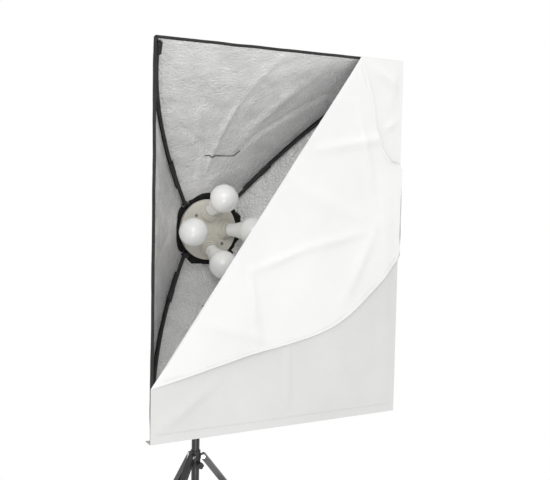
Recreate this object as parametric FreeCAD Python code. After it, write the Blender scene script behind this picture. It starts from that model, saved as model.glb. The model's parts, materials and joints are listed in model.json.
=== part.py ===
import FreeCAD
import Part

import math
import os

# Studio softbox on a light stand, millimetres, +Z up, the open face of the box towards -Y.
# Everything is first built about the stand's column (x = 0, y = 0, floor at z = 0), then moved so
# that the origin is on the floor at the middle of the footprint's box.

# ---- driving dimensions: stand ----
LEG_SPREAD = 38.5  # leg angle from the column, open
LEG_FOLDED = 2.0  # leg angle when the stand is folded
LEG_LENGTH = 600.0  # hub pivot to the centre of the foot's ball
LEG_TURN = 5.0  # how far the tripod is turned from facing straight ahead
LEG_WIDTH = 13.0
LEG_DEPTH = 12.5
LEG_WALL = 1.2
BRACE_PIN = 350.0  # hub pivot to the brace's pivot, along the leg
BRACE_LENGTH = 260.0  # base pivot to the brace's pivot on the leg
BRACE_DEPTH = 10.0
BRACE_WALL = 1.5
PIVOT_OFFSET = 18.0  # leg and brace pivots from the column's axis
PIVOT_R = 2.5
RIVET_R = 2.0
RIVET_HEAD_R = 3.7
FOOT_R = 9.0
FOOT_SLEEVE = 26.0
LOWER_TUBE_R = 9.0
MIDDLE_TUBE_R = 7.95
TOP_TUBE_R = 6.9
TUBE_WALL = 1.0
LOWER_TUBE_LENGTH = 712.0
TUBE_FOOT = 14.0  # lower tube's end below the brace pivots
MIDDLE_TUBE_LENGTH = 680.0
MIDDLE_REVEAL = 12.0  # middle tube seen between the two clamps
TOP_TUBE_LENGTH = 690.0
CLAMP_HEIGHT = 40.0
CLAMP_WALL = 4.5
CLAMP_GRIP = 24.0  # length of tube held in a clamp
SPIGOT_R = 8.0
SPIGOT_LENGTH = 27.0
SECTION_TRAVEL = 540.0
HUB_RING_R = 11.4
HUB_ABOVE = 13.0
HUB_BELOW = 26.0
HUB_KNOB_DROP = 17.0
HUB_KNOB_TURN = 60.0  # from the front right leg
KNOB_SCREW_R = 3.0
CLAMP_KNOB_R = 11.0
CLAMP_BOSS = 6.0
LOWER_KNOB_ANGLE = 60.0
UPPER_KNOB_ANGLE = 120.0

# ---- driving dimensions: head ----
HUB_TO_HEAD = 520.0  # leg pivots up to the lamp's axis
TILT_DROP = 88.0  # lamp axis down to the tilt axis
TILT_DISC_R = 17.0
TONGUE_WIDTH = 16.0
CHEEK_WIDTH = 7.0
SOCKET_R = 15.0
SOCKET_HEIGHT = 46.0
UMBRELLA_R = 4.5
COLUMN_BEHIND = 36.0  # column axis behind ROOT_DEPTH
HOUSING_LENGTH = 76.0
HOUSING_WALL = 2.5
PLATE_R = 66.0
PLATE_LAP = 4.0  # the plate's edge stands this far out from the housing
PLATE_AHEAD = 10.0  # the plate's back face ahead of ROOT_DEPTH
PLATE_SKIN = 2.5
PLATE_RIM = 7.0
PLATE_DOME = 3.0
SCREW_SPACING = 62.0
LAMP_MARGIN = 31.4  # each lamp's axis meets the plate this far inside its edge
LAMP_SPLAY = 23.3
COLLAR_BASE_R = 21.5
COLLAR_MOUTH_R = 18.6
COLLAR_STEP = 15.0  # along the lamp's axis, from the plate's back face
COLLAR_HEIGHT = 20.0
SHELL_R = 16.3  # insulating socket in each collar
SHELL_MOUTH = 24.0
SHELL_DEPTH = 10.0
CAP_R = 13.2
CAP_LENGTH = 22.0
GLOBE_R = 30.0
GLOBE_OUT = 89.0  # globe centre from the plate
NECK_R = 14.0
SWITCH_X = 14.0
SWITCH_Z = 16.0
SWITCH_W = 13.0
SWITCH_H = 19.0
ROCKER_TILT = 9.0
INLET_Z = -18.0
INLET_W = 27.4
INLET_H = 19.8
SHOULDER_TURN = math.radians(33.0)  # where the shoulder meets the globe, below its equator
GLASS = 1.2

# ---- driving dimensions: softbox ----
FRONT_HALF_WIDTH = 257.5
FRONT_HALF_HEIGHT = 346.0
PIVOT_INSET = 8.0  # rod pivots, sideways and up, inside the housing's radius
ROOT_DEPTH = 344.0  # depth of the cloth's curve over the pivots, back from the front edge
RING_WALL = 4.0  # the rod ring round the housing
EYE_HALF = 4.3
ROD_TIP_DEPTH = 4.0
ROD_BOW = 38.0
ROD_INSET = 10.0  # rod's centre inside the cloth's corner
ROD_R = 2.7
ARM_R = 4.1
ARM_LENGTH = 95.0
KNUCKLE_R = 5.0
KNUCKLE_LENGTH = 32.0
ROD_FOLD = 46.0
CLOTH = 1.2
POCKET_GAP = 1.1
POCKET_WALL = 1.6
WALL_STEPS = 7
BACK_HALF = 80.0  # half width of the wall panels' back edge
COLLAR_GAP = 0.5  # the back cloth's hole outside the rod ring
COLLAR_AHEAD = 5.8  # the hole's edge ahead of ROOT_DEPTH
HEM_DEPTH = 4.0
HEM_WIDTH = 5.0
VENT_LENGTH = 84.0
VENT_WIDTH = 5.0
COVER_THICKNESS = 0.9
COVER_LIP = 26.0
FLAP_LIFT = 5.0  # the folded-back corner stands this far off the cover
FOLD_TOP = 172.0  # where the fold meets the top edge, right of the middle
FOLD_SIDE = -241.0  # where the fold meets the left edge, below the middle
FLAP_UPPER = 142.0  # where the folded corner reaches the right edge
FLAP_LOWER = -52.0

# ---- clearances ----
RUNNING = 0.05  # a shaft in its bore, per side
LOOSE = 0.3  # parts that pass each other
FAR = 2000.0

X_AXIS = FreeCAD.Vector(1, 0, 0)
Y_AXIS = FreeCAD.Vector(0, 1, 0)
Z_AXIS = FreeCAD.Vector(0, 0, 1)

# ---- places worked out from the driving dimensions ----
COLUMN_DEPTH = ROOT_DEPTH + COLUMN_BEHIND
HOUSING_R = PLATE_R - PLATE_LAP
LAMP_RADIUS = PLATE_R - LAMP_MARGIN
HOUSING_FRONT = ROOT_DEPTH - PLATE_AHEAD
HOUSING_BACK = HOUSING_FRONT + HOUSING_LENGTH
ROOT_HALF = HOUSING_R - PIVOT_INSET
COLLAR_HOLE = HOUSING_R + RING_WALL + COLLAR_GAP
COLLAR_DEPTH = ROOT_DEPTH - COLLAR_AHEAD
SPREAD = math.radians(LEG_SPREAD)
HUB_Z = LEG_LENGTH * math.cos(SPREAD) + FOOT_R
BRACE_SPREAD = math.asin(BRACE_PIN / BRACE_LENGTH * math.sin(SPREAD))
OPEN_HEIGHT = BRACE_PIN * math.cos(SPREAD) + BRACE_LENGTH * math.cos(BRACE_SPREAD)
BASE_Z = HUB_Z - OPEN_HEIGHT
FOLDED_LEG = math.radians(LEG_FOLDED)
FOLDED_BRACE = math.asin(BRACE_PIN / BRACE_LENGTH * math.sin(FOLDED_LEG))
HUB_TRAVEL = BRACE_PIN * math.cos(FOLDED_LEG) + BRACE_LENGTH * math.cos(FOLDED_BRACE) - OPEN_HEIGHT
LOWER_TOP = BASE_Z - TUBE_FOOT + LOWER_TUBE_LENGTH
LOWER_CLAMP_TOP = LOWER_TOP + CLAMP_HEIGHT - CLAMP_GRIP
MIDDLE_TOP = LOWER_CLAMP_TOP + MIDDLE_REVEAL + CLAMP_GRIP
UPPER_CLAMP_TOP = MIDDLE_TOP + CLAMP_HEIGHT - CLAMP_GRIP
HEAD_Z = HUB_Z + HUB_TO_HEAD
TILT_Z = HEAD_Z - TILT_DROP
SOCKET_TOP = TILT_Z - TILT_DISC_R - LOOSE - 5.0
SOCKET_BOTTOM = SOCKET_TOP - SOCKET_HEIGHT
UMBRELLA_Z = SOCKET_TOP - UMBRELLA_R - 4.0
LEG_ANGLES = {"front_right": -30.0 + LEG_TURN, "rear": 90.0 + LEG_TURN, "front_left": 210.0 + LEG_TURN}
LAMP_ANGLES = {"top": 90.0, "right": 0.0, "bottom": 270.0, "left": 180.0}
HUB_KNOB_Z = HUB_Z - HUB_KNOB_DROP
HUB_KNOB_ANGLE = LEG_ANGLES["front_right"] - HUB_KNOB_TURN
CORNERS = {"upper_right": (1, 1), "lower_right": (1, -1), "lower_left": (-1, -1), "upper_left": (-1, 1)}

# the cloth's corners, and the rods inside them, run along one arc from the front to the back
REACH = math.hypot(FRONT_HALF_WIDTH - ROOT_HALF, FRONT_HALF_HEIGHT - ROOT_HALF)
SIDE_SHARE = (FRONT_HALF_WIDTH - ROOT_HALF) / REACH
UP_SHARE = (FRONT_HALF_HEIGHT - ROOT_HALF) / REACH
CHORD = math.hypot(REACH, ROOT_DEPTH)
CLOTH_ARC = (CHORD**2 / 4 + ROD_BOW**2) / (2 * ROD_BOW)
ARC_P = REACH / 2 - ROOT_DEPTH / CHORD * (CLOTH_ARC - ROD_BOW)
ARC_N = ROOT_DEPTH / 2 - REACH / CHORD * (CLOTH_ARC - ROD_BOW)
ROD_ARC = CLOTH_ARC - ROD_INSET
PIVOT_DEPTH = ARC_N + math.sqrt(ROD_ARC**2 - ARC_P**2)
ROOT_TURN = math.atan2(PIVOT_DEPTH - ARC_N, -ARC_P)
TIP_TURN = math.asin((ROD_TIP_DEPTH - ARC_N) / ROD_ARC)

nodes = {}


def vec(x, y, z):
    return FreeCAD.Vector(x, y, z)


def at(x, depth, z):
    """A point in the head: depth back from the softbox's front edge, z up from the lamp axis."""
    return vec(x, depth - COLUMN_DEPTH, HEAD_Z + z)


def rod(start, end, radius):
    """A round bar from one point to another."""
    return Part.makeCylinder(radius, (end - start).Length, start, end - start)


def pipe(start, end, radius, bore):
    return rod(start, end, radius).cut(rod(start, end, bore))


def block(low, high):
    size = high - low
    return Part.makeBox(size.x, size.y, size.z, low)


def prism(points, along):
    """A flat outline pushed straight along a vector."""
    return Part.Face(Part.makePolygon(points + points[:1])).extrude(along)


def joined(first, *others):
    return first.fuse(list(others)).removeSplitter()


def closed(faces):
    """A solid from flat faces, each given as its corner points."""
    shell = Part.Shell([Part.Face(Part.makePolygon(f + f[:1])) for f in faces])
    solid = Part.Solid(shell)
    if solid.Volume < 0:
        solid.reverse()
    return solid


def turned(profile, start, axis):
    """A solid of revolution: profile points are (distance along axis, radius)."""
    side = axis.cross(X_AXIS if abs(axis.x) < 0.9 else Z_AXIS).normalize()
    points = [start + axis * t + side * r for t, r in profile]
    return Part.Face(Part.makePolygon(points + points[:1])).revolve(start, axis, 360)


def placed(shape, origin, x_dir, y_dir):
    """Carries a shape from its own axes to the given ones."""
    z_dir = x_dir.cross(y_dir)
    matrix = FreeCAD.Matrix(
        x_dir.x, y_dir.x, z_dir.x, origin.x,
        x_dir.y, y_dir.y, z_dir.y, origin.y,
        x_dir.z, y_dir.z, z_dir.z, origin.z,
        0, 0, 0, 1,
    )
    carried = shape.copy()
    carried.Placement = FreeCAD.Placement(matrix).multiply(shape.Placement)
    return carried


def radial(angle_deg):
    """Unit vectors away from the column and round it, at this angle from +X."""
    a = math.radians(angle_deg)
    return vec(math.cos(a), math.sin(a), 0), vec(-math.sin(a), math.cos(a), 0)


def star_knob(origin, axis, radius, length, shank_r, shank_length):
    """A lobed clamping knob whose screw runs back along -axis from origin."""
    start = origin
    body = rod(start, start + axis * length, radius)
    side = axis.cross(Z_AXIS if abs(axis.z) < 0.9 else X_AXIS).normalize()
    up = axis.cross(side)
    for k in range(5):
        a = 2 * math.pi * k / 5
        out = (side * math.cos(a) + up * math.sin(a)) * (radius * 1.25)
        groove = rod(start - axis + out, start + axis * (length + 1) + out, radius * 0.42)
        body = body.cut(groove)
    return joined(body, rod(start - axis * shank_length, start, shank_r))


# ---- light stand ----
def leg(angle_deg):
    """A leg in its own axes: X down the leg from the hub pivot, Y round the column, Z away from it."""
    half = LEG_WIDTH / 2
    low, high = -LEG_DEPTH / 2, LEG_DEPTH / 2
    end = LEG_LENGTH - FOOT_SLEEVE
    outer = block(vec(0, -half, low), vec(end, half, high))
    eye = rod(vec(0, -half, 0), vec(0, half, 0), LEG_DEPTH / 2)
    inner = block(vec(-half * 2, LEG_WALL - half, low - 1), vec(end + 1, half - LEG_WALL, high - LEG_WALL))
    pin_hole = rod(vec(0, -half - 1, 0), vec(0, half + 1, 0), PIVOT_R + RUNNING)
    away, around = radial(angle_deg)
    down = away * math.sin(SPREAD) - Z_AXIS * math.cos(SPREAD)
    origin = away * PIVOT_OFFSET + Z_AXIS * HUB_Z
    return placed(joined(outer, eye).cut(inner).cut(pin_hole), origin, down, around)


def foot(angle_deg):
    ball = Part.makeSphere(FOOT_R, vec(LEG_LENGTH, 0, 0))
    sleeve = rod(vec(LEG_LENGTH - FOOT_SLEEVE, 0, 0), vec(LEG_LENGTH, 0, 0), FOOT_R)
    away, around = radial(angle_deg)
    down = away * math.sin(SPREAD) - Z_AXIS * math.cos(SPREAD)
    return placed(joined(ball, sleeve), away * PIVOT_OFFSET + Z_AXIS * HUB_Z, down, around)


def brace_axes(angle_deg):
    away, around = radial(angle_deg)
    up = away * math.sin(BRACE_SPREAD) + Z_AXIS * math.cos(BRACE_SPREAD)
    return away * PIVOT_OFFSET + Z_AXIS * BASE_Z, up, around


def brace(angle_deg):
    """A channel that straddles the leg, its web towards the column, with a rivet at its leg end."""
    inner_half = LEG_WIDTH / 2 + LOOSE
    half = inner_half + BRACE_WALL
    deep = BRACE_DEPTH / 2
    pieces = [block(vec(PIVOT_OFFSET, -half, deep - BRACE_WALL), vec(BRACE_LENGTH * 0.72, half, deep))]
    for side in (-1, 1):
        near, far = sorted((side * inner_half, side * half))
        pieces.append(block(vec(0, near, -deep), vec(BRACE_LENGTH, far, deep)))
        pieces += [rod(vec(x, near, 0), vec(x, far, 0), deep) for x in (0, BRACE_LENGTH)]
        rivet_end = vec(BRACE_LENGTH, side * (half + 1.6), 0)
        pieces.append(rod(vec(BRACE_LENGTH, side * half, 0), rivet_end, RIVET_HEAD_R))
    body = joined(*pieces)
    body = body.cut(rod(vec(0, -half - 1, 0), vec(0, half + 1, 0), RIVET_R + RUNNING))
    return placed(body, *brace_axes(angle_deg))


def pivot_bolts(height, shank_r, half_width, head_r, head_height):
    """One bolt through each of the three lugs at this height."""
    bolts = []
    for angle in LEG_ANGLES.values():
        away, around = radial(angle)
        centre = away * PIVOT_OFFSET + Z_AXIS * height
        shank = rod(centre - around * half_width, centre + around * half_width, shank_r)
        heads = [
            rod(centre + around * s * half_width, centre + around * s * (half_width + head_height), head_r)
            for s in (-1, 1)
        ]
        bolts.append(joined(shank, *heads))
    return Part.makeCompound(bolts)


def lugged_collar(low, high, pivot_z, ring_r, bore, lug_half, lug_r, hole_r):
    """A round collar on the column with three lugs that carry pivots."""
    body = rod(vec(0, 0, low), vec(0, 0, high), ring_r)
    lugs = []
    for angle in LEG_ANGLES.values():
        away, around = radial(angle)
        centre = away * PIVOT_OFFSET + Z_AXIS * pivot_z
        round_end = rod(centre - around * lug_half, centre + around * lug_half, lug_r)
        web = placed(
            block(vec(bore + 0.5, -lug_half, -lug_r), vec(PIVOT_OFFSET, lug_half, lug_r)),
            Z_AXIS * pivot_z, away, around,
        )
        lugs += [round_end, web]
    body = joined(body, *lugs).cut(rod(vec(0, 0, low - 1), vec(0, 0, high + 1), bore))
    for angle in LEG_ANGLES.values():
        away, around = radial(angle)
        centre = away * PIVOT_OFFSET + Z_AXIS * pivot_z
        body = body.cut(rod(centre - around * FOOT_R * 2, centre + around * FOOT_R * 2, hole_r))
    return body


def hub_knob_line():
    away, _ = radial(HUB_KNOB_ANGLE)
    return vec(0, 0, HUB_KNOB_Z), away


def leg_hub():
    """The sliding collar that carries the legs, with the boss for its clamping knob."""
    lug_r = LEG_DEPTH / 2 - LEG_WALL - LOOSE
    lug_half = LEG_WIDTH / 2 - LEG_WALL - LOOSE
    bore = LOWER_TUBE_R + RUNNING
    body = lugged_collar(
        HUB_Z - HUB_BELOW, HUB_Z + HUB_ABOVE, HUB_Z, HUB_RING_R, bore, lug_half, lug_r, PIVOT_R
    )
    centre, away = hub_knob_line()
    boss = rod(centre + away * (bore + 0.5), centre + away * (HUB_RING_R + 4.0), 6.5)
    body = joined(body, boss)
    return body.cut(rod(centre, centre + away * FOOT_R * 2, KNOB_SCREW_R + RUNNING))


def hub_knob():
    centre, away = hub_knob_line()
    shank = HUB_RING_R + 4.0 + LOOSE - LOWER_TUBE_R - LOOSE
    return star_knob(centre + away * (HUB_RING_R + 4.0 + LOOSE), away, 7.5, 11.0, KNOB_SCREW_R, shank)


def base_hub():
    """The fixed collar at the column's foot that carries the braces."""
    body = lugged_collar(
        BASE_Z - TUBE_FOOT, BASE_Z + 9.0, BASE_Z, HUB_RING_R - 0.4, LOWER_TUBE_R, LEG_WIDTH / 2,
        BRACE_DEPTH / 2, RIVET_R,
    )
    cap = rod(vec(0, 0, BASE_Z - TUBE_FOOT - 3.0), vec(0, 0, BASE_Z - TUBE_FOOT), HUB_RING_R - 0.4)
    return joined(body, cap)


def section_clamp(grip_top, tube_r, inner_r, knob_angle):
    """A clamp fixed on the end of one tube, through which the next one slides."""
    low, high = grip_top - CLAMP_GRIP, grip_top - CLAMP_GRIP + CLAMP_HEIGHT
    outer = tube_r + CLAMP_WALL
    away, _ = radial(knob_angle)
    knob_z = (grip_top + high) / 2
    boss_end = away * (outer + CLAMP_BOSS) + Z_AXIS * knob_z
    body = joined(
        rod(vec(0, 0, low), vec(0, 0, high), outer),
        rod(Z_AXIS * knob_z, boss_end, 7.5),
    )
    body = body.cut(rod(vec(0, 0, low - 1), vec(0, 0, grip_top), tube_r))
    body = body.cut(rod(vec(0, 0, grip_top - 1), vec(0, 0, high + 1), inner_r + RUNNING))
    return body.cut(rod(Z_AXIS * knob_z, boss_end + away, KNOB_SCREW_R + RUNNING))


def clamp_knob(grip_top, tube_r, inner_r, knob_angle):
    away, _ = radial(knob_angle)
    knob_z = (grip_top + grip_top - CLAMP_GRIP + CLAMP_HEIGHT) / 2
    seat = tube_r + CLAMP_WALL + CLAMP_BOSS + LOOSE
    shank = seat - inner_r - LOOSE
    return star_knob(away * seat + Z_AXIS * knob_z, away, CLAMP_KNOB_R, 14.0, KNOB_SCREW_R, shank)


def build_stand():
    low = BASE_Z - TUBE_FOOT
    nodes["lower_tube"] = pipe(vec(0, 0, low), vec(0, 0, LOWER_TOP), LOWER_TUBE_R, LOWER_TUBE_R - TUBE_WALL)
    nodes["middle_tube"] = pipe(
        vec(0, 0, MIDDLE_TOP - MIDDLE_TUBE_LENGTH), vec(0, 0, MIDDLE_TOP), MIDDLE_TUBE_R,
        MIDDLE_TUBE_R - TUBE_WALL,
    )
    top_low = vec(0, 0, SOCKET_BOTTOM - LOOSE - TOP_TUBE_LENGTH)
    nodes["top_tube"] = pipe(top_low, vec(0, 0, SOCKET_BOTTOM - LOOSE), TOP_TUBE_R, TOP_TUBE_R - TUBE_WALL)
    top = SOCKET_BOTTOM - LOOSE
    plug = rod(vec(0, 0, top - 30), vec(0, 0, top), TOP_TUBE_R - TUBE_WALL)
    stud = rod(vec(0, 0, SOCKET_BOTTOM - LOOSE), vec(0, 0, SOCKET_BOTTOM + SPIGOT_LENGTH), SPIGOT_R)
    groove = pipe(
        vec(0, 0, SOCKET_BOTTOM + 9), vec(0, 0, SOCKET_BOTTOM + 19), SPIGOT_R + 1, SPIGOT_R - 1.2
    )
    nodes["spigot"] = joined(plug, stud).cut(groove)
    nodes["lower_clamp"] = section_clamp(LOWER_TOP, LOWER_TUBE_R, MIDDLE_TUBE_R, LOWER_KNOB_ANGLE)
    nodes["lower_clamp_knob"] = clamp_knob(LOWER_TOP, LOWER_TUBE_R, MIDDLE_TUBE_R, LOWER_KNOB_ANGLE)
    nodes["upper_clamp"] = section_clamp(MIDDLE_TOP, MIDDLE_TUBE_R, TOP_TUBE_R, UPPER_KNOB_ANGLE)
    nodes["upper_clamp_knob"] = clamp_knob(MIDDLE_TOP, MIDDLE_TUBE_R, TOP_TUBE_R, UPPER_KNOB_ANGLE)
    nodes["leg_hub"] = leg_hub()
    nodes["leg_hub_knob"] = hub_knob()
    nodes["leg_bolts"] = pivot_bolts(HUB_Z, PIVOT_R, LEG_WIDTH / 2 + LOOSE, PIVOT_R + 2.0, 2.4)
    nodes["base_hub"] = base_hub()
    nodes["brace_bolts"] = pivot_bolts(
        BASE_Z, RIVET_R, LEG_WIDTH / 2 + 2 * LOOSE + BRACE_WALL, RIVET_HEAD_R, 1.8
    )
    for name, angle in LEG_ANGLES.items():
        nodes["leg_" + name] = leg(angle)
        nodes["foot_" + name] = foot(angle)
        nodes["brace_" + name] = brace(angle)


# ---- head bracket ----
def bracket_screw_line():
    return vec(0, SOCKET_R + 5.0, SOCKET_BOTTOM + 14.0), Y_AXIS


def umbrella_screw_line():
    return vec(-(SOCKET_R + 3.0), 0, UMBRELLA_Z), vec(-1, 0, 0)


def build_bracket():
    tilt = vec(0, 0, TILT_Z)
    half = TONGUE_WIDTH / 2
    barrel = rod(vec(0, 0, SOCKET_BOTTOM), vec(0, 0, SOCKET_TOP), SOCKET_R)
    tongue = rod(tilt - X_AXIS * half, tilt + X_AXIS * half, TILT_DISC_R)
    neck = block(vec(-half, -12, SOCKET_TOP - 4), vec(half, 12, TILT_Z))
    seat, away = bracket_screw_line()
    boss = rod(vec(0, 4, seat.z), seat, 8.0)
    screw_seat, left = umbrella_screw_line()
    side_boss = rod(vec(-4, 0, UMBRELLA_Z), screw_seat, 6.0)
    body = joined(barrel, tongue, neck, boss, side_boss)
    spigot_hole = rod(
        vec(0, 0, SOCKET_BOTTOM - 1), vec(0, 0, SOCKET_BOTTOM + SPIGOT_LENGTH + 1), SPIGOT_R + RUNNING
    )
    body = body.cut(spigot_hole)
    body = body.cut(rod(vec(0, 0, seat.z), seat + away, KNOB_SCREW_R + RUNNING))
    body = body.cut(rod(vec(0, -SOCKET_R * 2, UMBRELLA_Z), vec(0, SOCKET_R * 2, UMBRELLA_Z), UMBRELLA_R))
    body = body.cut(rod(vec(0, 0, UMBRELLA_Z), screw_seat + left, 2.0 + RUNNING))
    bolt_r = 4.0
    reach = half + LOOSE + CHEEK_WIDTH
    nodes["stand_socket"] = body.cut(rod(tilt - X_AXIS * FAR, tilt + X_AXIS * FAR, bolt_r))
    nodes["socket_knob"] = star_knob(
        seat + away * LOOSE, away, CLAMP_KNOB_R, 14.0, KNOB_SCREW_R, seat.y - SPIGOT_R + 1.2 - LOOSE
    )
    shank = SOCKET_R + 3.0 - UMBRELLA_R
    nodes["umbrella_screw"] = star_knob(screw_seat + left * LOOSE, left, 7.0, 9.0, 2.0, shank)
    cheeks = []
    for side in (-1, 1):
        near, far = sorted((side * (half + LOOSE), side * reach))
        disc = rod(vec(near, 0, TILT_Z), vec(far, 0, TILT_Z), TILT_DISC_R)
        plate = block(vec(near, -TILT_DISC_R, TILT_Z), vec(far, TILT_DISC_R, HEAD_Z - HOUSING_R - 2.0))
        cheeks.append(joined(disc, plate))
    bridge_low = TILT_Z + TILT_DISC_R + 1.5
    bridge = block(vec(-reach, -TILT_DISC_R, bridge_low), vec(reach, TILT_DISC_R, HEAD_Z - HOUSING_R - 2.0))
    bracket = joined(cheeks[0], cheeks[1], bridge)
    nodes["tilt_bracket"] = bracket.cut(rod(tilt - X_AXIS * FAR, tilt + X_AXIS * FAR, bolt_r + RUNNING))
    shank = rod(tilt - X_AXIS * (reach + LOOSE), tilt + X_AXIS * (reach + 12), bolt_r)
    head = rod(tilt - X_AXIS * (reach + 5), tilt - X_AXIS * (reach + LOOSE), 7.5)
    nodes["tilt_bolt"] = joined(shank, head)
    start = reach + LOOSE
    grip_end = tilt + vec(start + 8, 0, -54)
    boss = rod(tilt + X_AXIS * start, tilt + X_AXIS * (start + 13), 9.0)
    arm = rod(tilt + X_AXIS * (start + 7), grip_end, 4.5)
    tip = Part.makeSphere(6.0, grip_end)
    bore = rod(tilt, tilt + X_AXIS * (reach + 12 + LOOSE), bolt_r + RUNNING)
    nodes["tilt_handle"] = joined(boss, arm, tip).cut(bore)


# ---- lamp head ----
def lamp_axis(angle_deg):
    """The point where a lamp's axis meets the plate, and the direction it looks."""
    a = math.radians(angle_deg)
    out = vec(math.cos(a), 0, math.sin(a))
    splay = math.radians(LAMP_SPLAY)
    origin = at(LAMP_RADIUS * out.x, HOUSING_FRONT, LAMP_RADIUS * out.z)
    return origin, out * math.sin(splay) - Y_AXIS * math.cos(splay)


def plate_dome(offset):
    """The plate's domed front, PLATE_DOME higher in the middle, thickened inwards by offset."""
    radius = (PLATE_R**2 + PLATE_DOME**2) / (2 * PLATE_DOME)
    centre = at(0, HOUSING_FRONT - PLATE_RIM - PLATE_DOME + radius, 0)
    return Part.makeSphere(radius - offset, centre, Y_AXIS * -1, 0, 90, 360)


def lamp_plate():
    disc = rod(at(0, HOUSING_FRONT - PLATE_RIM - PLATE_DOME, 0), at(0, HOUSING_FRONT, 0), PLATE_R)
    front = disc.common(plate_dome(0))
    hollow = rod(
        at(0, HOUSING_FRONT - PLATE_RIM - PLATE_DOME, 0), at(0, HOUSING_FRONT + 1, 0), PLATE_R - PLATE_SKIN
    ).common(plate_dome(PLATE_SKIN))
    body = front.cut(hollow)
    for angle in LAMP_ANGLES.values():
        origin, look = lamp_axis(angle)
        base = rod(origin, origin + look * COLLAR_STEP, COLLAR_BASE_R)
        collar = joined(base, rod(origin, origin + look * COLLAR_HEIGHT, COLLAR_MOUTH_R))
        behind = rod(at(0, HOUSING_FRONT - 1, 0), at(0, HOUSING_FRONT + 20, 0), PLATE_R)
        body = joined(body, collar.cut(plate_dome(PLATE_SKIN).common(disc)).cut(behind))
    for angle in LAMP_ANGLES.values():
        origin, look = lamp_axis(angle)
        body = body.cut(rod(origin - look * SHELL_DEPTH * 2, origin + look * (COLLAR_HEIGHT + 1), SHELL_R))
    return body.cut(plate_screws())


def plate_screws():
    """Four countersunk-looking screws that hold the plate to posts in the housing."""
    screws = []
    for sx in (-1, 1):
        for sz in (-1, 1):
            x, z = sx * SCREW_SPACING / 2, sz * SCREW_SPACING / 2
            head_back = HOUSING_FRONT - PLATE_RIM - 1.4
            head = rod(at(x, head_back - 1.6, z), at(x, head_back, z), 3.4)
            screws.append(joined(head, rod(at(x, head_back, z), at(x, HOUSING_FRONT + 12, z), 2.0)))
    return Part.makeCompound(screws)


def housing():
    """The rear shell: open at the front, drawn in towards a flat back, with screw posts and cut-outs."""
    front, back = HOUSING_FRONT, HOUSING_BACK
    length = back - front
    outline = [
        (0, 0), (0, HOUSING_R), (length - 24, HOUSING_R), (length - 6, HOUSING_R - 12),
        (length, HOUSING_R - 20), (length, 0),
    ]
    w = HOUSING_WALL
    hollow = [
        (-1, 0), (-1, HOUSING_R - w), (length - 24, HOUSING_R - w), (length - 6 - w / 2, HOUSING_R - 12 - w),
        (length - w, HOUSING_R - 20 - w), (length - w, 0),
    ]
    body = turned(outline, at(0, front, 0), Y_AXIS).cut(turned(hollow, at(0, front, 0), Y_AXIS))
    under = HEAD_Z - HOUSING_R
    pad = block(vec(-24, -TILT_DISC_R - 4, under - 2.0), vec(24, TILT_DISC_R + 4, under + 6.0))
    pad = pad.cut(rod(at(0, front - 1, 0), at(0, back + 1, 0), HOUSING_R - w / 2))
    body = joined(body, pad)
    posts = []
    for sx in (-1, 1):
        for sz in (-1, 1):
            x, z = sx * SCREW_SPACING / 2, sz * SCREW_SPACING / 2
            posts.append(pipe(at(x, front, z), at(x, back - w, z), 4.5, 2.0))
    body = joined(body, *[p.common(rod(at(0, front, 0), at(0, back, 0), HOUSING_R - 1)) for p in posts])
    for x in (-SWITCH_X, SWITCH_X):
        low = at(x - SWITCH_W / 2, back - 10, SWITCH_Z - SWITCH_H / 2)
        high = at(x + SWITCH_W / 2, back + 5, SWITCH_Z + SWITCH_H / 2)
        body = body.cut(block(low, high))
    low = at(-INLET_W / 2, back - 10, INLET_Z - INLET_H / 2)
    return body.cut(block(low, at(INLET_W / 2, back + 5, INLET_Z + INLET_H / 2)))


def switch_frames():
    """A frame for each rocker: a flange on the back, a box through the cut-out and a shallow well."""
    frames = []
    for x in (-SWITCH_X, SWITCH_X):
        flange = block(at(x - SWITCH_W / 2 - 1.5, HOUSING_BACK, SWITCH_Z - SWITCH_H / 2 - 1.5),
                       at(x + SWITCH_W / 2 + 1.5, HOUSING_BACK + 1.8, SWITCH_Z + SWITCH_H / 2 + 1.5))
        box = block(at(x - SWITCH_W / 2, HOUSING_BACK - 16, SWITCH_Z - SWITCH_H / 2),
                    at(x + SWITCH_W / 2, HOUSING_BACK, SWITCH_Z + SWITCH_H / 2))
        well = block(at(x - SWITCH_W / 2 + 1.5, HOUSING_BACK - 9, SWITCH_Z - SWITCH_H / 2 + 1.5),
                     at(x + SWITCH_W / 2 - 1.5, HOUSING_BACK + 5, SWITCH_Z + SWITCH_H / 2 - 1.5))
        pin = rocker_pin(x)
        frames.append(joined(joined(flange, box).cut(well), pin))
    return Part.makeCompound(frames)


def rocker_centre(x):
    return at(x, HOUSING_BACK - 3.0, SWITCH_Z)


def rocker_pin(x):
    centre = rocker_centre(x)
    half = SWITCH_W / 2 - 1.5
    return rod(centre - X_AXIS * half, centre + X_AXIS * half, 1.2)


def rocker(x):
    """A two-position rocker on its pin, shown switched off: its upper half stands out."""
    centre = rocker_centre(x)
    half_w = SWITCH_W / 2 - 1.5 - LOOSE
    half_h = SWITCH_H / 2 - 1.5 - 0.8
    face = 4.4
    points = [(-half_h, -1.5), (-half_h, face + 0.6), (0, face - 0.6), (half_h, face + 0.6), (half_h, -1.5)]
    outline = [centre + vec(-half_w, y, z) for z, y in points]
    body = prism(outline, X_AXIS * (2 * half_w))
    body = body.cut(rod(centre - X_AXIS * 20, centre + X_AXIS * 20, 1.2 + RUNNING))
    body.rotate(centre, X_AXIS, ROCKER_TILT / 2)
    return body


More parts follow.
